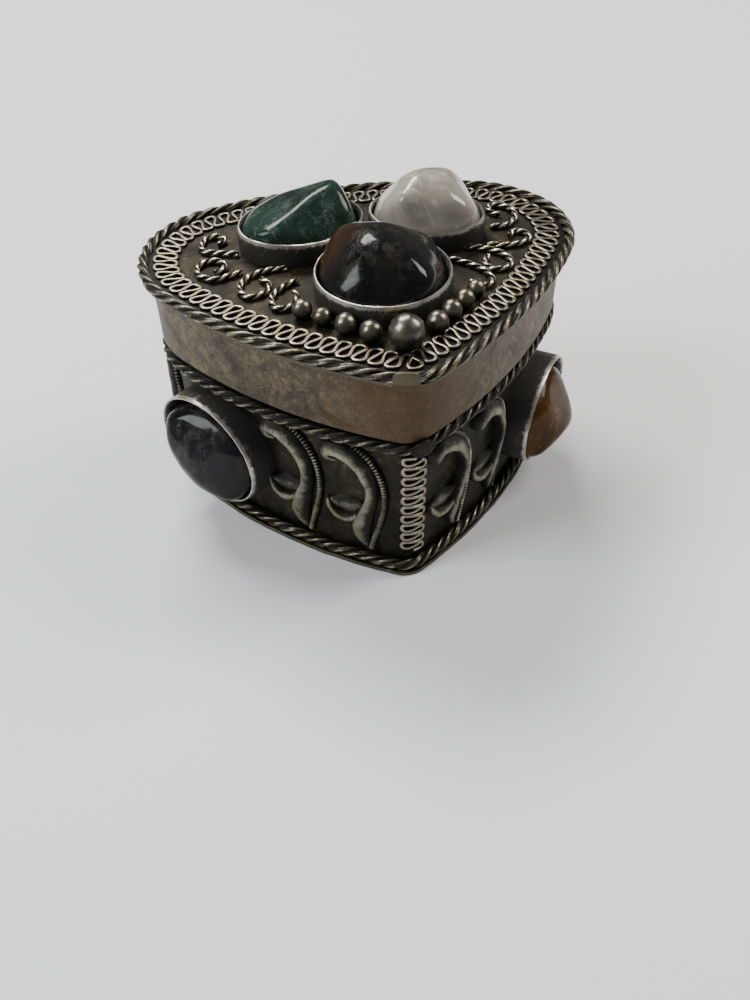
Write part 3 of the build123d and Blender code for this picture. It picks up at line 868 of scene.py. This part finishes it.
@dataclass
class Workshop:
    """Turns shapes into pieces that ride on the CAD bodies."""

    nodes: dict[str, bpy.types.Object]
    made: int = 0

    def piece(self, name: str, shape: Shape, finish: Finish, body: Body, *stands_for: str,
              sharp: float = 35.0) -> None:
        """Make one piece.

        Args:
            name: The piece's name.
            shape: Its shape in millimetres.
            finish: Its finish.
            body: The body it rides on.
            stands_for: CAD nodes it replaces.
            sharp: Edges that turn by more than this many degrees stay sharp.
        """
        mesh = bpy.data.meshes.new(name)
        mesh.from_pydata((shape.points * MM).tolist(), [], shape.faces)
        relief = np.ones(len(shape.points)) if shape.relief is None else shape.relief
        layer = mesh.attributes.new("relief", "FLOAT", "POINT")
        layer.data.foreach_set("value", relief.astype(np.float32))
        mesh.shade_smooth()
        mesh.set_sharp_from_angle(angle=math.radians(sharp))
        mesh.materials.append(finish.material())
        piece = bpy.data.objects.new(name, mesh)
        bpy.context.scene.collection.objects.link(piece)
        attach(piece, body.value)
        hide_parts(*stands_for)
        self.made += 1
        LOG.info("%s: %d points, %d faces, on %s", name, len(shape.points), len(shape.faces), body.value)

    def dress(self, node: str, finish: Finish) -> None:
        """Give a CAD node that stays in view its finish."""
        mesh = self.nodes[node].data
        mesh.materials.clear()
        mesh.materials.append(finish.material())
        LOG.info("%s: CAD shape kept, finished in %s", node, finish.slot)


# ---- Sheet metal -------------------------------------------------------------------------


@dataclass
class SheetMetal:
    """Bottom plate, base wall, lid band and lid plate."""

    shop: Workshop
    samples: int = 720
    dent: float = 0.07
    soft: float = 0.12
    floor_overhang: float = 0.5
    wall_inner: float = -2.6
    band_inner: float = -0.9
    plate_overhang: float = 1.75
    plate_forward: float = 0.35

    def ring(self, profile: Sequence[Point], seed: float) -> Shape:
        """Closed wall of one section, as (offset, height) points, swept round the plan."""
        line = np.linspace(0, 1, self.samples, endpoint=False)
        columns = []
        for offset, height in profile:
            plan = PLAN.at_offset(offset)
            xy, normals = plan.at(line * plan.perimeter())
            push = uneven(np.column_stack([xy, np.full(self.samples, height)]), 6.0, self.dent, seed)
            columns.append(np.column_stack([xy + normals * push[:, None], np.full(self.samples, height)]))
        return Shape.grid(np.stack(columns, 1))

    def plate(self, offset: float, bottom: float, top: float, seed: float, grime: float = 1.0) -> Shape:
        """Flat plate with soft edges, cut a little unevenly."""
        soft, middle, sooty = self.soft, -7.1, -6.4
        profile = [(middle, bottom), (-soft, bottom), (0.0, bottom + soft), (0.0, top - soft), (-soft, top),
                   (sooty, top), (middle, top)]
        rows = []
        for inset, height in profile:
            plan = PLAN.at_offset(offset + inset)
            xy, normals = plan.at(np.linspace(0, plan.perimeter(), self.samples, endpoint=False))
            wave = uneven(np.column_stack([xy, np.zeros(self.samples)]), 2.2, 0.1, seed) - 0.1
            rows.append(np.column_stack([xy + normals * wave[:, None], np.full(self.samples, height)]))
        n = self.samples
        faces = [(i * n + j, i * n + (j + 1) % n, (i + 1) * n + (j + 1) % n, (i + 1) * n + j)
                 for i in range(len(rows) - 1) for j in range(n)]
        last = (len(rows) - 1) * n
        faces += [tuple(range(n - 1, -1, -1)), tuple(range(last, last + n))]
        relief = np.repeat([1.0, 1.9, 1.9, 1.9, grime, grime, 1.0], n)
        return Shape(np.concatenate(rows), faces, relief)

    def build(self) -> None:
        """Make the four sheet-metal pieces."""
        h = HEIGHTS
        floor = self.plate(self.floor_overhang, 0.0, h.floor, 1.0)
        self.shop.piece("base_floor_plate", floor, Finish.SHEET, Body.BASE, "base_floor")
        side = self.wall(WALL_OFFSET, self.wall_inner, h.floor, h.lip, 2.0)
        self.shop.piece("base_side_wall", side, Finish.SHEET, Body.BASE, "base_wall")
        band = self.wall(0.0, self.band_inner, h.parting, h.plate_bottom, 3.0)
        self.shop.piece("lid_side_band", band, Finish.BAND, Body.LID, "lid_band")
        forward = np.array([0.0, self.plate_forward, 0.0])
        top = self.plate(self.plate_overhang, h.plate_bottom, h.plate_top, 4.0, 0.0)
        shifted = top.moved(lambda p: p - forward)
        self.shop.piece("lid_top_plate", shifted, Finish.SHEET, Body.LID, "lid_plate")

    def wall(self, outer: float, inner: float, bottom: float, top: float, seed: float) -> Shape:
        """Upright wall with soft edges and shallow dents in its faces."""
        soft = self.soft
        levels = np.linspace(bottom + soft, top - soft, 10)
        sheet = [(outer, z) for z in levels] + [(outer - soft, top), (inner + soft, top)]
        sheet += [(inner, z) for z in levels[::-1]] + [(inner + soft, bottom), (outer - soft, bottom)]
        return self.ring(sheet, seed)


# ---- Ropes and bent wire -----------------------------------------------------------------


@dataclass(frozen=True)
class RopeSize:
    """One rope round the box, in millimetres."""

    name: str
    node: str
    body: Body
    radius: float
    offset: float
    height: float
    pitch: float
    gap: float = 0.0
    forward: float = 0.0
    tilt: float = 0.0
    droop: Point = (0.0, 0.0)
    # Darkens the rope's upper part: partly grime, partly painted shade under the lid band's edge.
    grime_and_painted_shade: float = 0.0

    def line(self) -> tuple[np.ndarray, float]:
        """Points along the rope's middle, and their length."""
        plan = PLAN.at_offset(self.offset)
        length = plan.perimeter()
        half = length / 2
        if self.gap:
            runs = np.linspace(half + self.gap, half + length - self.gap, 600)
        else:
            runs = np.linspace(0, length, 600, endpoint=False)
        xy, _ = plan.at(runs)
        from_nose = np.mod(runs, length)
        left = from_nose > half
        sag = np.sin(np.pi * np.minimum(from_nose, length - from_nose) / half) ** 0.5
        z = self.height - self.tilt * xy[:, 1] / 30 - np.where(left, *self.droop) * sag
        return np.column_stack([xy - np.array([0.0, self.forward]), z]), length - 2 * self.gap


@dataclass
class Ropework:
    """The three ropes that edge the box, and the plates over their ends."""

    shop: Workshop
    ropes: tuple[RopeSize, ...] = (
        RopeSize("foot_rope_twist", "foot_rope", Body.BASE, 0.95, -0.6, 1.75, 7.8),
        RopeSize("upper_rope_twist", "upper_rope", Body.BASE, 1.0, -0.5, 28.5, 8.0, gap=8.2,
                 droop=(1.2, 0.5), grime_and_painted_shade=0.22),
        RopeSize("lid_rim_rope_twist", "lid_rim_rope", Body.LID, 0.95, 1.05, 42.7, 8.8, forward=0.45,
                 tilt=0.3),
    )

    def build(self) -> None:
        """Make the ropes and the joint plates."""
        tree = rope_tree(3, 3)
        for rope in self.ropes:
            shape = self.twisted(tree, rope)
            self.shop.piece(rope.name, shape, Finish.ROPE, rope.body, rope.node, sharp=70.0)
        lens = self.joint_plate((-0.4, 3.6), (27.1, 30.1), 0.5, 1.0)
        self.shop.piece("rope_joint_lens", lens, Finish.SHEET, Body.BASE, "rope_joint_plate")
        tab = self.joint_plate((-2.5, 0.2), (41.3, 44.7), 2.08, 0.35)
        self.shop.piece("lid_lifting_tab", tab, Finish.BAND, Body.LID, "lid_joint_tab")

    def twisted(self, tree: bpy.types.NodeTree, rope: RopeSize) -> Shape:
        """One rope, twisted along its line."""
        path, length = rope.line()
        turns = round(length / rope.pitch)
        shape = Tree.run(tree, path, not rope.gap, Finish.ROPE, Samples=turns * 30, Turns=float(turns),
                         StrandReach=0.5 * rope.radius, WireTurns=float(round(turns * 0.25)),
                         WireReach=0.21 * rope.radius, WireRadius=0.29 * rope.radius, RopeRadius=rope.radius)
        # Painted shade with grime: the rope's upper part is darkened by height, for the lid band's shadow as
        # well as dirt.
        above = (shape.points[:, 2] - rope.height + rope.droop[0]) / rope.radius
        shape.relief -= rope.grime_and_painted_shade * np.clip(above, 0, 1)
        return shape

    def joint_plate(self, span: Point, heights: Point, offset: float, pointed: float) -> Shape:
        """Small plate bent round the nose, lens-shaped when pointed is 1."""
        plan = PLAN.at_offset(offset)
        middle, half = sum(heights) / 2, (heights[1] - heights[0]) / 2
        section = [(0.0, 1.0), (0.3, 0.93), (0.42, 0.6), (0.45, 0.0), (0.42, -0.6), (0.3, -0.93), (0.0, -1.0)]
        rows = []
        for share in np.linspace(-0.98, 0.98, 25):
            station = span[0] + (span[1] - span[0]) * (share + 1) / 2
            xy, normal = plan.at(np.array([plan.run_of(station)]))
            tall = half * (1 - pointed * abs(share) ** 2.6 * 0.8 - (1 - pointed) * abs(share) ** 8 * 0.3)
            rows.append([[*(xy[0] + normal[0] * out), middle + tall * up] for out, up in section])
        shape = Shape.grid(np.array(rows)[:, ::-1], closed=False, capped=True)
        shape.relief = np.full(len(shape.points), 0.55)
        return roughened(shape, 0.9, 0.05, 9.0)


@dataclass
class BentWire:
    """Bands of flat wire bent into loops, on the lid and down the nose."""

    shop: Workshop
    lid_inset: float = 0.6
    lid_width: float = 4.15
    lid_squeeze: float = 0.98
    wire: float = 0.4
    tall: float = 0.56
    strip_heights: Point = (4.2, 25.3)
    strip_station: float = 1.4
    strip_wire: float = 0.36

    def build(self) -> None:
        """Make both bands."""
        tree = meander_tree()
        reach = (self.lid_width - self.wire) / 2
        plan = PLAN.at_offset(-self.lid_inset - self.lid_width / 2)
        shape = Tree.run(tree, plan.loop(900, 0.0), True, Finish.FLAT_WIRE, Loops=73, Reach=reach, Bulge=0.56,
                         Lean=-0.42, WireWidth=self.wire, WireHeight=self.tall)
        squeeze = np.array([1, self.lid_squeeze, 1])
        lift = np.array([0, 0, HEIGHTS.plate_top + self.tall / 2])
        lifted = shape.moved(lambda p: p * squeeze + lift)
        self.shop.piece("lid_wire_loops", lifted, Finish.FLAT_WIRE, Body.LID, "lid_ribbon", sharp=60.0)
        low, high = self.strip_heights
        line = np.column_stack([np.zeros(60), np.linspace(high, low, 60), np.zeros(60)])
        strip = Tree.run(tree, line, False, Finish.FLAT_WIRE, Loops=10, Reach=2.0, Bulge=0.42, Lean=-0.15,
                         WireWidth=self.strip_wire, WireHeight=self.tall)
        lay = on_wall(self.strip_station, 0.0)
        laid = strip.moved(lambda p: lay(p + np.array([0, 0, self.tall / 2])))
        self.shop.piece("nose_wire_loops", laid, Finish.FLAT_WIRE, Body.BASE, "nose_filigree", sharp=60.0)


@dataclass
class Scrolls:
    """Curled wires on the lid, each twisted from two strands."""

    shop: Workshop
    radius: float = 0.55
    pitch: float = 3.8
    lines: dict[str, list[Point]] = field(default_factory=lambda: {
        "left_scroll_1": [(-20.6, 9.6), (-23.4, 10.5), (-26.1, 11.6), (-26.5, 13.6), (-25.6, 15.8),
                          (-23.6, 16.4), (-22.4, 15.0), (-23.6, 13.4)],
        "left_scroll_2": [(-20.6, 3.7), (-23.0, 2.9), (-25.4, 2.4), (-27.7, 4.4), (-27.4, 7.2),
                          (-25.4, 8.4), (-23.4, 7.4), (-23.5, 5.3), (-25.1, 4.4)],
        "left_scroll_3": [(-13.4, 3.4), (-17.2, 3.2), (-20.2, 1.6), (-21.7, -1.4), (-20.6, -4.1),
                          (-18.0, -3.4), (-16.9, -1.2), (-18.0, 0.9)],
        "left_scroll_4": [(-12.3, -0.8), (-15.2, -2.6), (-17.1, -5.2), (-16.8, -8.2), (-14.8, -8.3),
                          (-13.2, -6.2), (-13.3, -4.2)],
        "right_scroll_1": [(23.1, 9.2), (25.8, 9.0), (28.2, 11.2), (28.6, 14.0), (27.2, 16.3),
                           (25.2, 16.5), (24.5, 14.4), (26.0, 12.9)],
        "right_scroll_2": [(20.9, 3.4), (23.2, 2.4), (26.3, 2.5), (28.4, 4.0), (28.0, 6.1), (26.3, 6.5),
                           (25.2, 5.2)],
        "right_scroll_3": [(14.2, 3.0), (17.6, 3.2), (21.0, 1.4), (22.9, -1.8), (21.9, -4.4),
                           (19.4, -4.6), (18.4, -2.4), (19.6, -0.4)],
        "right_scroll_4": [(13.5, 0.3), (16.0, -2.1), (17.9, -5.0), (18.1, -8.0), (16.3, -9.2),
                           (14.6, -7.6)],
    })

    def build(self) -> None:
        """Make every scroll."""
        tree = rope_tree(2, 1)
        for name, points in self.lines.items():
            line = smooth_line([(*p, HEIGHTS.plate_top + self.radius) for p in points], 90)
            length = float(np.linalg.norm(np.diff(line, axis=0), axis=1).sum())
            turns = length / self.pitch
            shape = Tree.run(tree, line, False, Finish.SCROLL, Samples=int(turns * 26), Turns=turns,
                             StrandReach=0.46 * self.radius, WireReach=0.0, WireRadius=0.54 * self.radius,
                             Sides=10, RopeRadius=self.radius)
            self.shop.piece(f"{name}_twist", shape, Finish.SCROLL, Body.LID, name, sharp=70.0)


# ---- Stamped crescents -------------------------------------------------------------------


@dataclass
class Crescents:
    """Stamped horns with a curled hook, each with a beaded wire along its back."""

    shop: Workshop
    height: float = 15.0
    sunk: float = 0.7
    stations: dict[str, float] = field(default_factory=lambda: {
        "left_1": -9.9, "left_2": -21.7, "left_3": -57.2, "left_4": -70.4, "left_5": -83.0,
        "right_1": 10.1, "right_2": 21.6, "right_3": 54.9, "right_4": 68.3, "right_5": 81.0,
    })

    def horn(self, line: Sequence[Sequence[float]], crest: float, count: int, shine: float = 1.0) -> Shape:
        """Tapered relief along a line.

        Args:
            line: Points as along, up, half width and height of the relief.
            crest: Where the relief is highest, from -1 on its left edge to 1 on its right.
            count: Sections along the line.
            shine: Relief of the crest.
        """
        samples = smooth_line(line, count)
        ahead = np.gradient(samples[:, :2], axis=0)
        right = np.stack([ahead[:, 1], -ahead[:, 0]], 1) / np.linalg.norm(ahead, axis=1)[:, None]
        across = np.linspace(-1, 1, 15)
        lean = np.where(across < crest, (across - crest) / (1 + crest), (across - crest) / (1 - crest))
        rise = np.sqrt(np.clip(1 - np.abs(lean) ** 2.2, 0, 1))
        rows, relief = [], []
        for point, side in zip(samples, right):
            half, tall = max(point[2], 0.05), max(point[3], 0.05)
            top = [[*(point[:2] + side * half * a), tall * r] for a, r in zip(across, rise)]
            feet = [[*(point[:2] + side * half * a), -self.sunk] for a in (1, -1)]
            rows.append([feet[0]] + top[::-1] + [feet[1]])
            relief.append([0.0, *(rise[::-1] ** 3 * shine), 0.0])
        return Shape.grid(np.array(rows), closed=False, capped=True, relief=np.array(relief))

    def build(self) -> None:
        """Make the crescents and the beaded wires."""
        horn = self.horn([(-3.2, 7.3, 0.6, 1.1), (-4.5, 7.9, 1.0, 1.8), (-4.8, 9.3, 1.25, 2.1),
                          (-3.6, 10.3, 1.4, 2.2), (-1.4, 9.9, 1.45, 2.2), (0.7, 8.5, 1.4, 2.2),
                          (2.1, 6.3, 1.25, 2.1), (3.0, 3.6, 1.0, 2.1), (2.8, 0.6, 1.1, 2.1),
                          (1.8, -3.0, 1.5, 2.0), (1.0, -6.3, 1.75, 1.7), (1.2, -8.9, 1.4, 1.2),
                          (1.8, -11.0, 0.5, 0.5)], 0.55, 70)
        bowl = self.horn([(1.2, -1.5, 0.8, 0.9), (-0.6, -2.3, 1.8, 0.8), (-2.4, -2.5, 2.1, 0.7),
                          (-4.0, -2.2, 1.3, 0.8), (-4.7, -1.9, 0.4, 0.6)], 0.0, 30, 0.7)
        rim = self.horn([(1.4, -2.9, 0.6, 1.2), (0.2, -4.0, 0.85, 1.6), (-1.4, -4.9, 0.95, 1.7),
                         (-3.2, -4.7, 0.95, 1.65), (-4.6, -3.5, 0.8, 1.4), (-5.1, -1.9, 0.4, 1.0)], 0.1, 34)
        tree = bead_tree()
        back = smooth_line([(-0.2, 11.2, 0), (2.2, 9.1, 0), (3.9, 6.3, 0), (4.85, 3.0, 0), (4.9, -0.8, 0),
                            (4.2, -4.8, 0), (3.4, -8.0, 0), (2.7, -11.0, 0)], 90)
        beads = Tree.run(tree, back, False, Finish.STAMPED)
        strings = []
        for seed, (name, station) in enumerate(self.stations.items()):
            lay = on_wall(station, self.height)
            body = roughened(Shape.joined([horn, bowl, rim]), 1.6, 0.14, 20.0 + seed).moved(lay)
            self.shop.piece(f"crescent_{name}_horn", body, Finish.STAMPED, Body.BASE, f"crescent_{name}",
                            sharp=60.0)
            strings.append(beads.moved(lay))
        self.shop.piece("beaded_wire_strings", Shape.joined(strings), Finish.STAMPED, Body.BASE,
                        "beaded_wires")


# ---- Stones ------------------------------------------------------------------------------


@dataclass(frozen=True)
class Setting:
    """A stone in its bezel, in millimetres, in its own frame with Z out of the seat."""

    name: str
    body: Body
    finish: Finish
    axes: Point
    turn: float
    rise: float
    faces: tuple[tuple[float, float, float], ...]
    place: Callable[[np.ndarray], np.ndarray]
    seed: float
    shift: Point = (0.0, 0.0)
    slack: float = 0.1
    bezel_height: float = 4.1


def lid_seat(x: float, y: float) -> Callable[[np.ndarray], np.ndarray]:
    """Mapping that puts a setting on the lid plate."""
    return lambda p: p + np.array([x, y, HEIGHTS.plate_top])


def side_seat(station: float, height: float) -> Callable[[np.ndarray], np.ndarray]:
    """Mapping that puts a setting on the plane that touches the base wall at a station."""
    (origin,), (normal,) = WALL.at(np.array([WALL.run_of(station)]))
    frame = np.array([[-normal[1], normal[0], 0.0], [0.0, 0.0, 1.0], [normal[0], normal[1], 0.0]])
    return lambda p: p @ frame + np.array([*origin, height])


@dataclass
class Jewels:
    """The stones and their bezels."""

    shop: Workshop
    wall: float = 0.6
    settings: tuple[Setting, ...] = (
        Setting("black", Body.LID, Finish.BLACK, (11.4, 11.0), 61, 11.2,
                ((-30, 72, 10.3), (175, 42, 10.3), (-100, 42, 10.3), (-15, 42, 9.9), (70, 45, 9.8),
                 (-150, 50, 10.5)),
                place=lid_seat(0.6, -6.2), seed=31.0),
        Setting("green", Body.LID, Finish.GREEN, (11.0, 8.9), 11, 10.6,
                ((170, 68, 7.6), (5, 24, 10.2), (-80, 48, 8.4), (95, 45, 8.6)),
                place=lid_seat(-9.4, 12.6), seed=32.0),
        Setting("clear", Body.LID, Finish.CLEAR, (10.1, 8.4), -23, 11.6,
                ((165, 40, 9.6), (-8, 42, 9.7), (-80, 58, 10.4), (-90, 20, 8.8), (95, 40, 8.8),
                 (0, 88, 11.7)),
                place=lid_seat(12.0, 10.9), seed=33.0),
        Setting("left", Body.BASE, Finish.PLUM, (11.7, 10.3), 0, 9.6,
                ((0, 50, 9.3), (80, 50, 9.2), (60, 60, 9.0), (180, 36, 9.8), (-90, 45, 9.4), (-140, 58, 9.5)),
                shift=(0.3, -0.4), slack=0.7, bezel_height=4.4, place=side_seat(-38.2, 15.1), seed=34.0),
        Setting("right", Body.BASE, Finish.AMBER, (11.6, 9.3), 0, 10.2,
                ((90, 58, 7.9), (-90, 48, 8.6), (180, 50, 9.2), (0, 45, 9.4), (40, 50, 8.8)),
                shift=(-0.2, -0.4), slack=0.6, bezel_height=4.4, place=side_seat(38.5, 13.2), seed=35.0),
    )

    def build(self) -> None:
        """Make every stone and bezel."""
        for setting in self.settings:
            stone = self.stone(setting).moved(setting.place)
            self.shop.piece(f"{setting.name}_tumbled_stone", stone, setting.finish, setting.body,
                            f"{setting.name}_stone", sharp=80.0)
            cup = self.cup(setting).moved(setting.place)
            self.shop.piece(f"{setting.name}_bezel_cup", cup, Finish.BEZEL, setting.body,
                            f"{setting.name}_bezel", sharp=50.0)

    def stone(self, setting: Setting) -> Shape:
        """Tumbled stone: an oval pebble whose faces meet in soft ridges."""
        long_axis, short_axis = (axis - self.wall - setting.slack for axis in setting.axes)
        turn = math.radians(setting.turn)
        hardness = 13.0
        around, up = np.meshgrid(np.linspace(0, TURN, 128, endpoint=False),
                                 np.linspace(0.0, 0.995, 56) * math.pi / 2)
        ray = np.stack([np.cos(up) * np.cos(around), np.cos(up) * np.sin(around), np.sin(up)], -1)
        x = ray[..., 0] * math.cos(turn) + ray[..., 1] * math.sin(turn)
        y = -ray[..., 0] * math.sin(turn) + ray[..., 1] * math.cos(turn)
        total = np.hypot(x / long_axis, y / short_axis) ** hardness + (ray[..., 2] / setting.rise) ** hardness
        for bearing, slope, distance in setting.faces:
            bearing, slope = math.radians(bearing), math.radians(slope)
            level = math.cos(slope)
            facing = np.array([level * math.cos(bearing), level * math.sin(bearing), math.sin(slope)])
            total += np.clip(ray @ facing / distance, 0, None) ** hardness
        rows = ray * (total ** (-1 / hardness))[..., None]
        shape = Shape.grid(rows[::-1], closed=False, capped=True)
        shape.points[:, :2] += setting.shift
        return roughened(shape, 4.0, 0.22, setting.seed)

    def cup(self, setting: Setting) -> Shape:
        """Bezel strip bent round the stone, its edge rubbed over and slightly wavy."""
        turn = math.radians(setting.turn)
        around = np.linspace(0, TURN, 160, endpoint=False)
        tall, wall, wave_depth, squeeze = setting.bezel_height, self.wall, 0.12, 0.06
        seat = -2.0 if setting.body is Body.BASE else 0.0
        profile = [(-0.05, seat), (0.0, 0.3 * tall), (0.0, 0.8 * tall), (-0.08, 0.93 * tall), (-0.22, tall),
                   (-0.42, tall + 0.02), (-wall, 0.93 * tall), (-wall, 0.5 * tall), (-wall, seat)]
        relief = [0.1, 0.25, 0.45, 0.9, 1.0, 1.0, 0.7, 0.3, 0.0]
        rows = []
        for angle in around:
            spot = Vector((math.cos(angle) * 2.2, math.sin(angle) * 2.2, setting.seed))
            wave = wave_depth * noise.noise(spot)
            row = []
            for inset, height in profile:
                x = (setting.axes[0] + inset - squeeze) * math.cos(angle)
                y = (setting.axes[1] + inset - squeeze) * math.sin(angle)
                lift = wave - wave_depth if height > 0.6 * tall else 0.0
                row.append([x * math.cos(turn) - y * math.sin(turn),
                            x * math.sin(turn) + y * math.cos(turn), height + lift])
            rows.append(row)
        values = np.tile(np.array(relief), (len(rows), 1))
        return roughened(Shape.grid(np.array(rows), relief=values), 1.5, 0.06, setting.seed + 5)


@dataclass
class SolderBalls:
    """Balls melted onto the lid round the black stone."""

    shop: Workshop
    names: tuple[str, ...] = ("front_ball",) + tuple(
        f"{side}_ball_{k}" for side in ("left", "right") for k in range(1, 5))
    settled: dict[str, tuple[float, float, float]] = field(default_factory=lambda: {
        "left_ball_1": (0.7, -0.3, 1.0), "left_ball_2": (0.4, -0.3, 1.04),
        "left_ball_3": (0.4, -0.2, 1.08), "left_ball_4": (0.7, -0.4, 1.25),
        "right_ball_3": (-0.2, -0.4, 1.15), "right_ball_4": (-0.6, -0.6, 1.15),
    })

    def build(self) -> None:
        """Make each ball where its CAD node is, moved and grown by its entry in settled."""
        for seed, name in enumerate(self.names):
            low, high = (np.array(corner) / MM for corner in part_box(name))
            centre, radius = (low + high) / 2, (high[0] - low[0]) / 2
            x, y, grown = self.settled.get(name, (0.0, 0.0, 1.0))
            centre, radius = centre + np.array([x, y, radius * (grown - 1)]), radius * grown
            ball = self.ball(centre, radius, 50.0 + seed)
            self.shop.piece(f"{name}_melted", ball, Finish.BALL, Body.LID, name)

    def ball(self, centre: np.ndarray, radius: float, seed: float) -> Shape:
        """Slightly flattened ball with a fillet of solder at its foot."""
        around, up = np.meshgrid(np.linspace(0, TURN, 40, endpoint=False),
                                 np.linspace(0.03, 0.97, 24) * math.pi)
        foot = HEIGHTS.plate_top - centre[2]
        z = radius * np.cos(up) * 0.985
        flare = 0.22 * radius * np.exp(-((z - foot) / (0.16 * radius)) ** 2)
        out = radius * np.sin(up) * 0.985 + flare * (np.cos(up) < 0)
        rows = np.stack([out * np.cos(around), out * np.sin(around), np.maximum(z, foot)], -1) + centre
        shape = Shape.grid(rows, closed=False, capped=True)
        shape.relief = np.clip((shape.points[:, 2] - centre[2]) / radius * 0.6 + 0.5, 0, 1)
        return roughened(shape, 1.1, 0.03 * radius, seed)


@dataclass
class Hinge:
    """The barrel hinge at the back, which keeps its CAD shape."""

    shop: Workshop

    def build(self) -> None:
        """Dress the leaves and the pin."""
        for node in ("hinge_leaf_base", "hinge_leaf_lid"):
            self.shop.dress(node, Finish.SHEET)
        self.shop.dress("hinge_pin", Finish.STAMPED)


# ---- Studio ------------------------------------------------------------------------------


@dataclass
class Stage:
    """Floor, lights, world and camera."""

    camera_place: tuple[float, float, float] = (-0.026504, -0.1282, 0.118664)
    heading: float = -0.204883
    pitch: float = 0.776781
    roll: float = -0.01271
    lens: float = 32.4

    def build(self) -> None:
        """Set the stage."""
        self.floor()
        self.lights()
        self.camera()

    def floor(self) -> None:
        """Large pale sheet under the box."""
        mesh = bpy.data.meshes.new("floor")
        half = 3.0
        spread = [(-half, -half, 0), (half, -half, 0), (half, half, 0), (-half, half, 0)]
        mesh.from_pydata(spread, [], [(0, 1, 2, 3)])
        mesh.materials.append(Studio().build())
        floor = bpy.data.objects.new("floor", mesh)
        bpy.context.scene.collection.objects.link(floor)

    def area(self, name: str, place: Sequence[float], size: Sequence[float], power: float,
             colour: Colour) -> None:
        """One area light aimed at the middle of the box."""
        light = bpy.data.lights.new(name, "AREA")
        light.shape, light.size, light.size_y = "RECTANGLE", size[0], size[1]
        light.energy, light.color = power, colour
        lamp = bpy.data.objects.new(name, light)
        lamp.location = place
        lamp.rotation_mode = "QUATERNION"
        lamp.rotation_quaternion = (Vector((0, 0, 0.03)) - Vector(place)).to_track_quat("-Z", "Y")
        bpy.context.scene.collection.objects.link(lamp)

    def lights(self) -> None:
        """Soft overhead panels behind and beside the box, and an even sky."""
        self.area("panel_back", (-0.15, 0.55, 0.75), (0.5, 0.25), 10.0, (1.0, 0.98, 0.95))
        self.area("panel_left", (-0.7, -0.05, 0.6), (0.35, 0.5), 6.5, (0.95, 0.98, 1.0))
        self.area("panel_right", (0.65, 0.1, 0.6), (0.3, 0.4), 5.0, (1.0, 0.97, 0.93))
        world = bpy.data.worlds.new("studio")
        world.use_nodes = True
        background = next(n for n in world.node_tree.nodes if n.type == "BACKGROUND")
        background.inputs["Color"].default_value = (0.9, 0.93, 0.97, 1.0)
        background.inputs["Strength"].default_value = 0.2
        bpy.context.scene.world = world

    def camera(self) -> None:
        """Camera above the nose, a little to its left."""
        data = bpy.data.cameras.new("camera")
        data.lens = self.lens
        data.clip_start, data.clip_end = 0.01, 20.0
        camera = bpy.data.objects.new("camera", data)
        heading = Matrix.Rotation(self.heading, 4, "Z")
        pitch = Matrix.Rotation(math.pi / 2 - self.pitch, 4, "X")
        roll = Matrix.Rotation(self.roll, 4, "Z")
        camera.matrix_world = Matrix.Translation(self.camera_place) @ heading @ pitch @ roll
        bpy.context.scene.collection.objects.link(camera)
        bpy.context.scene.camera = camera


def main() -> None:
    """Build every sub-assembly round the frame and report it."""
    logging.basicConfig(level=logging.INFO, format="%(name)s %(message)s")
    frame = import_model()
    shop = Workshop(frame["nodes"])
    for maker in (SheetMetal, Ropework, BentWire, Scrolls, Crescents, Jewels, SolderBalls, Hinge):
        maker(shop).build()
    Stage().build()
    LOG.info("%d pieces made", shop.made)


if __name__ == "__main__":
    main()
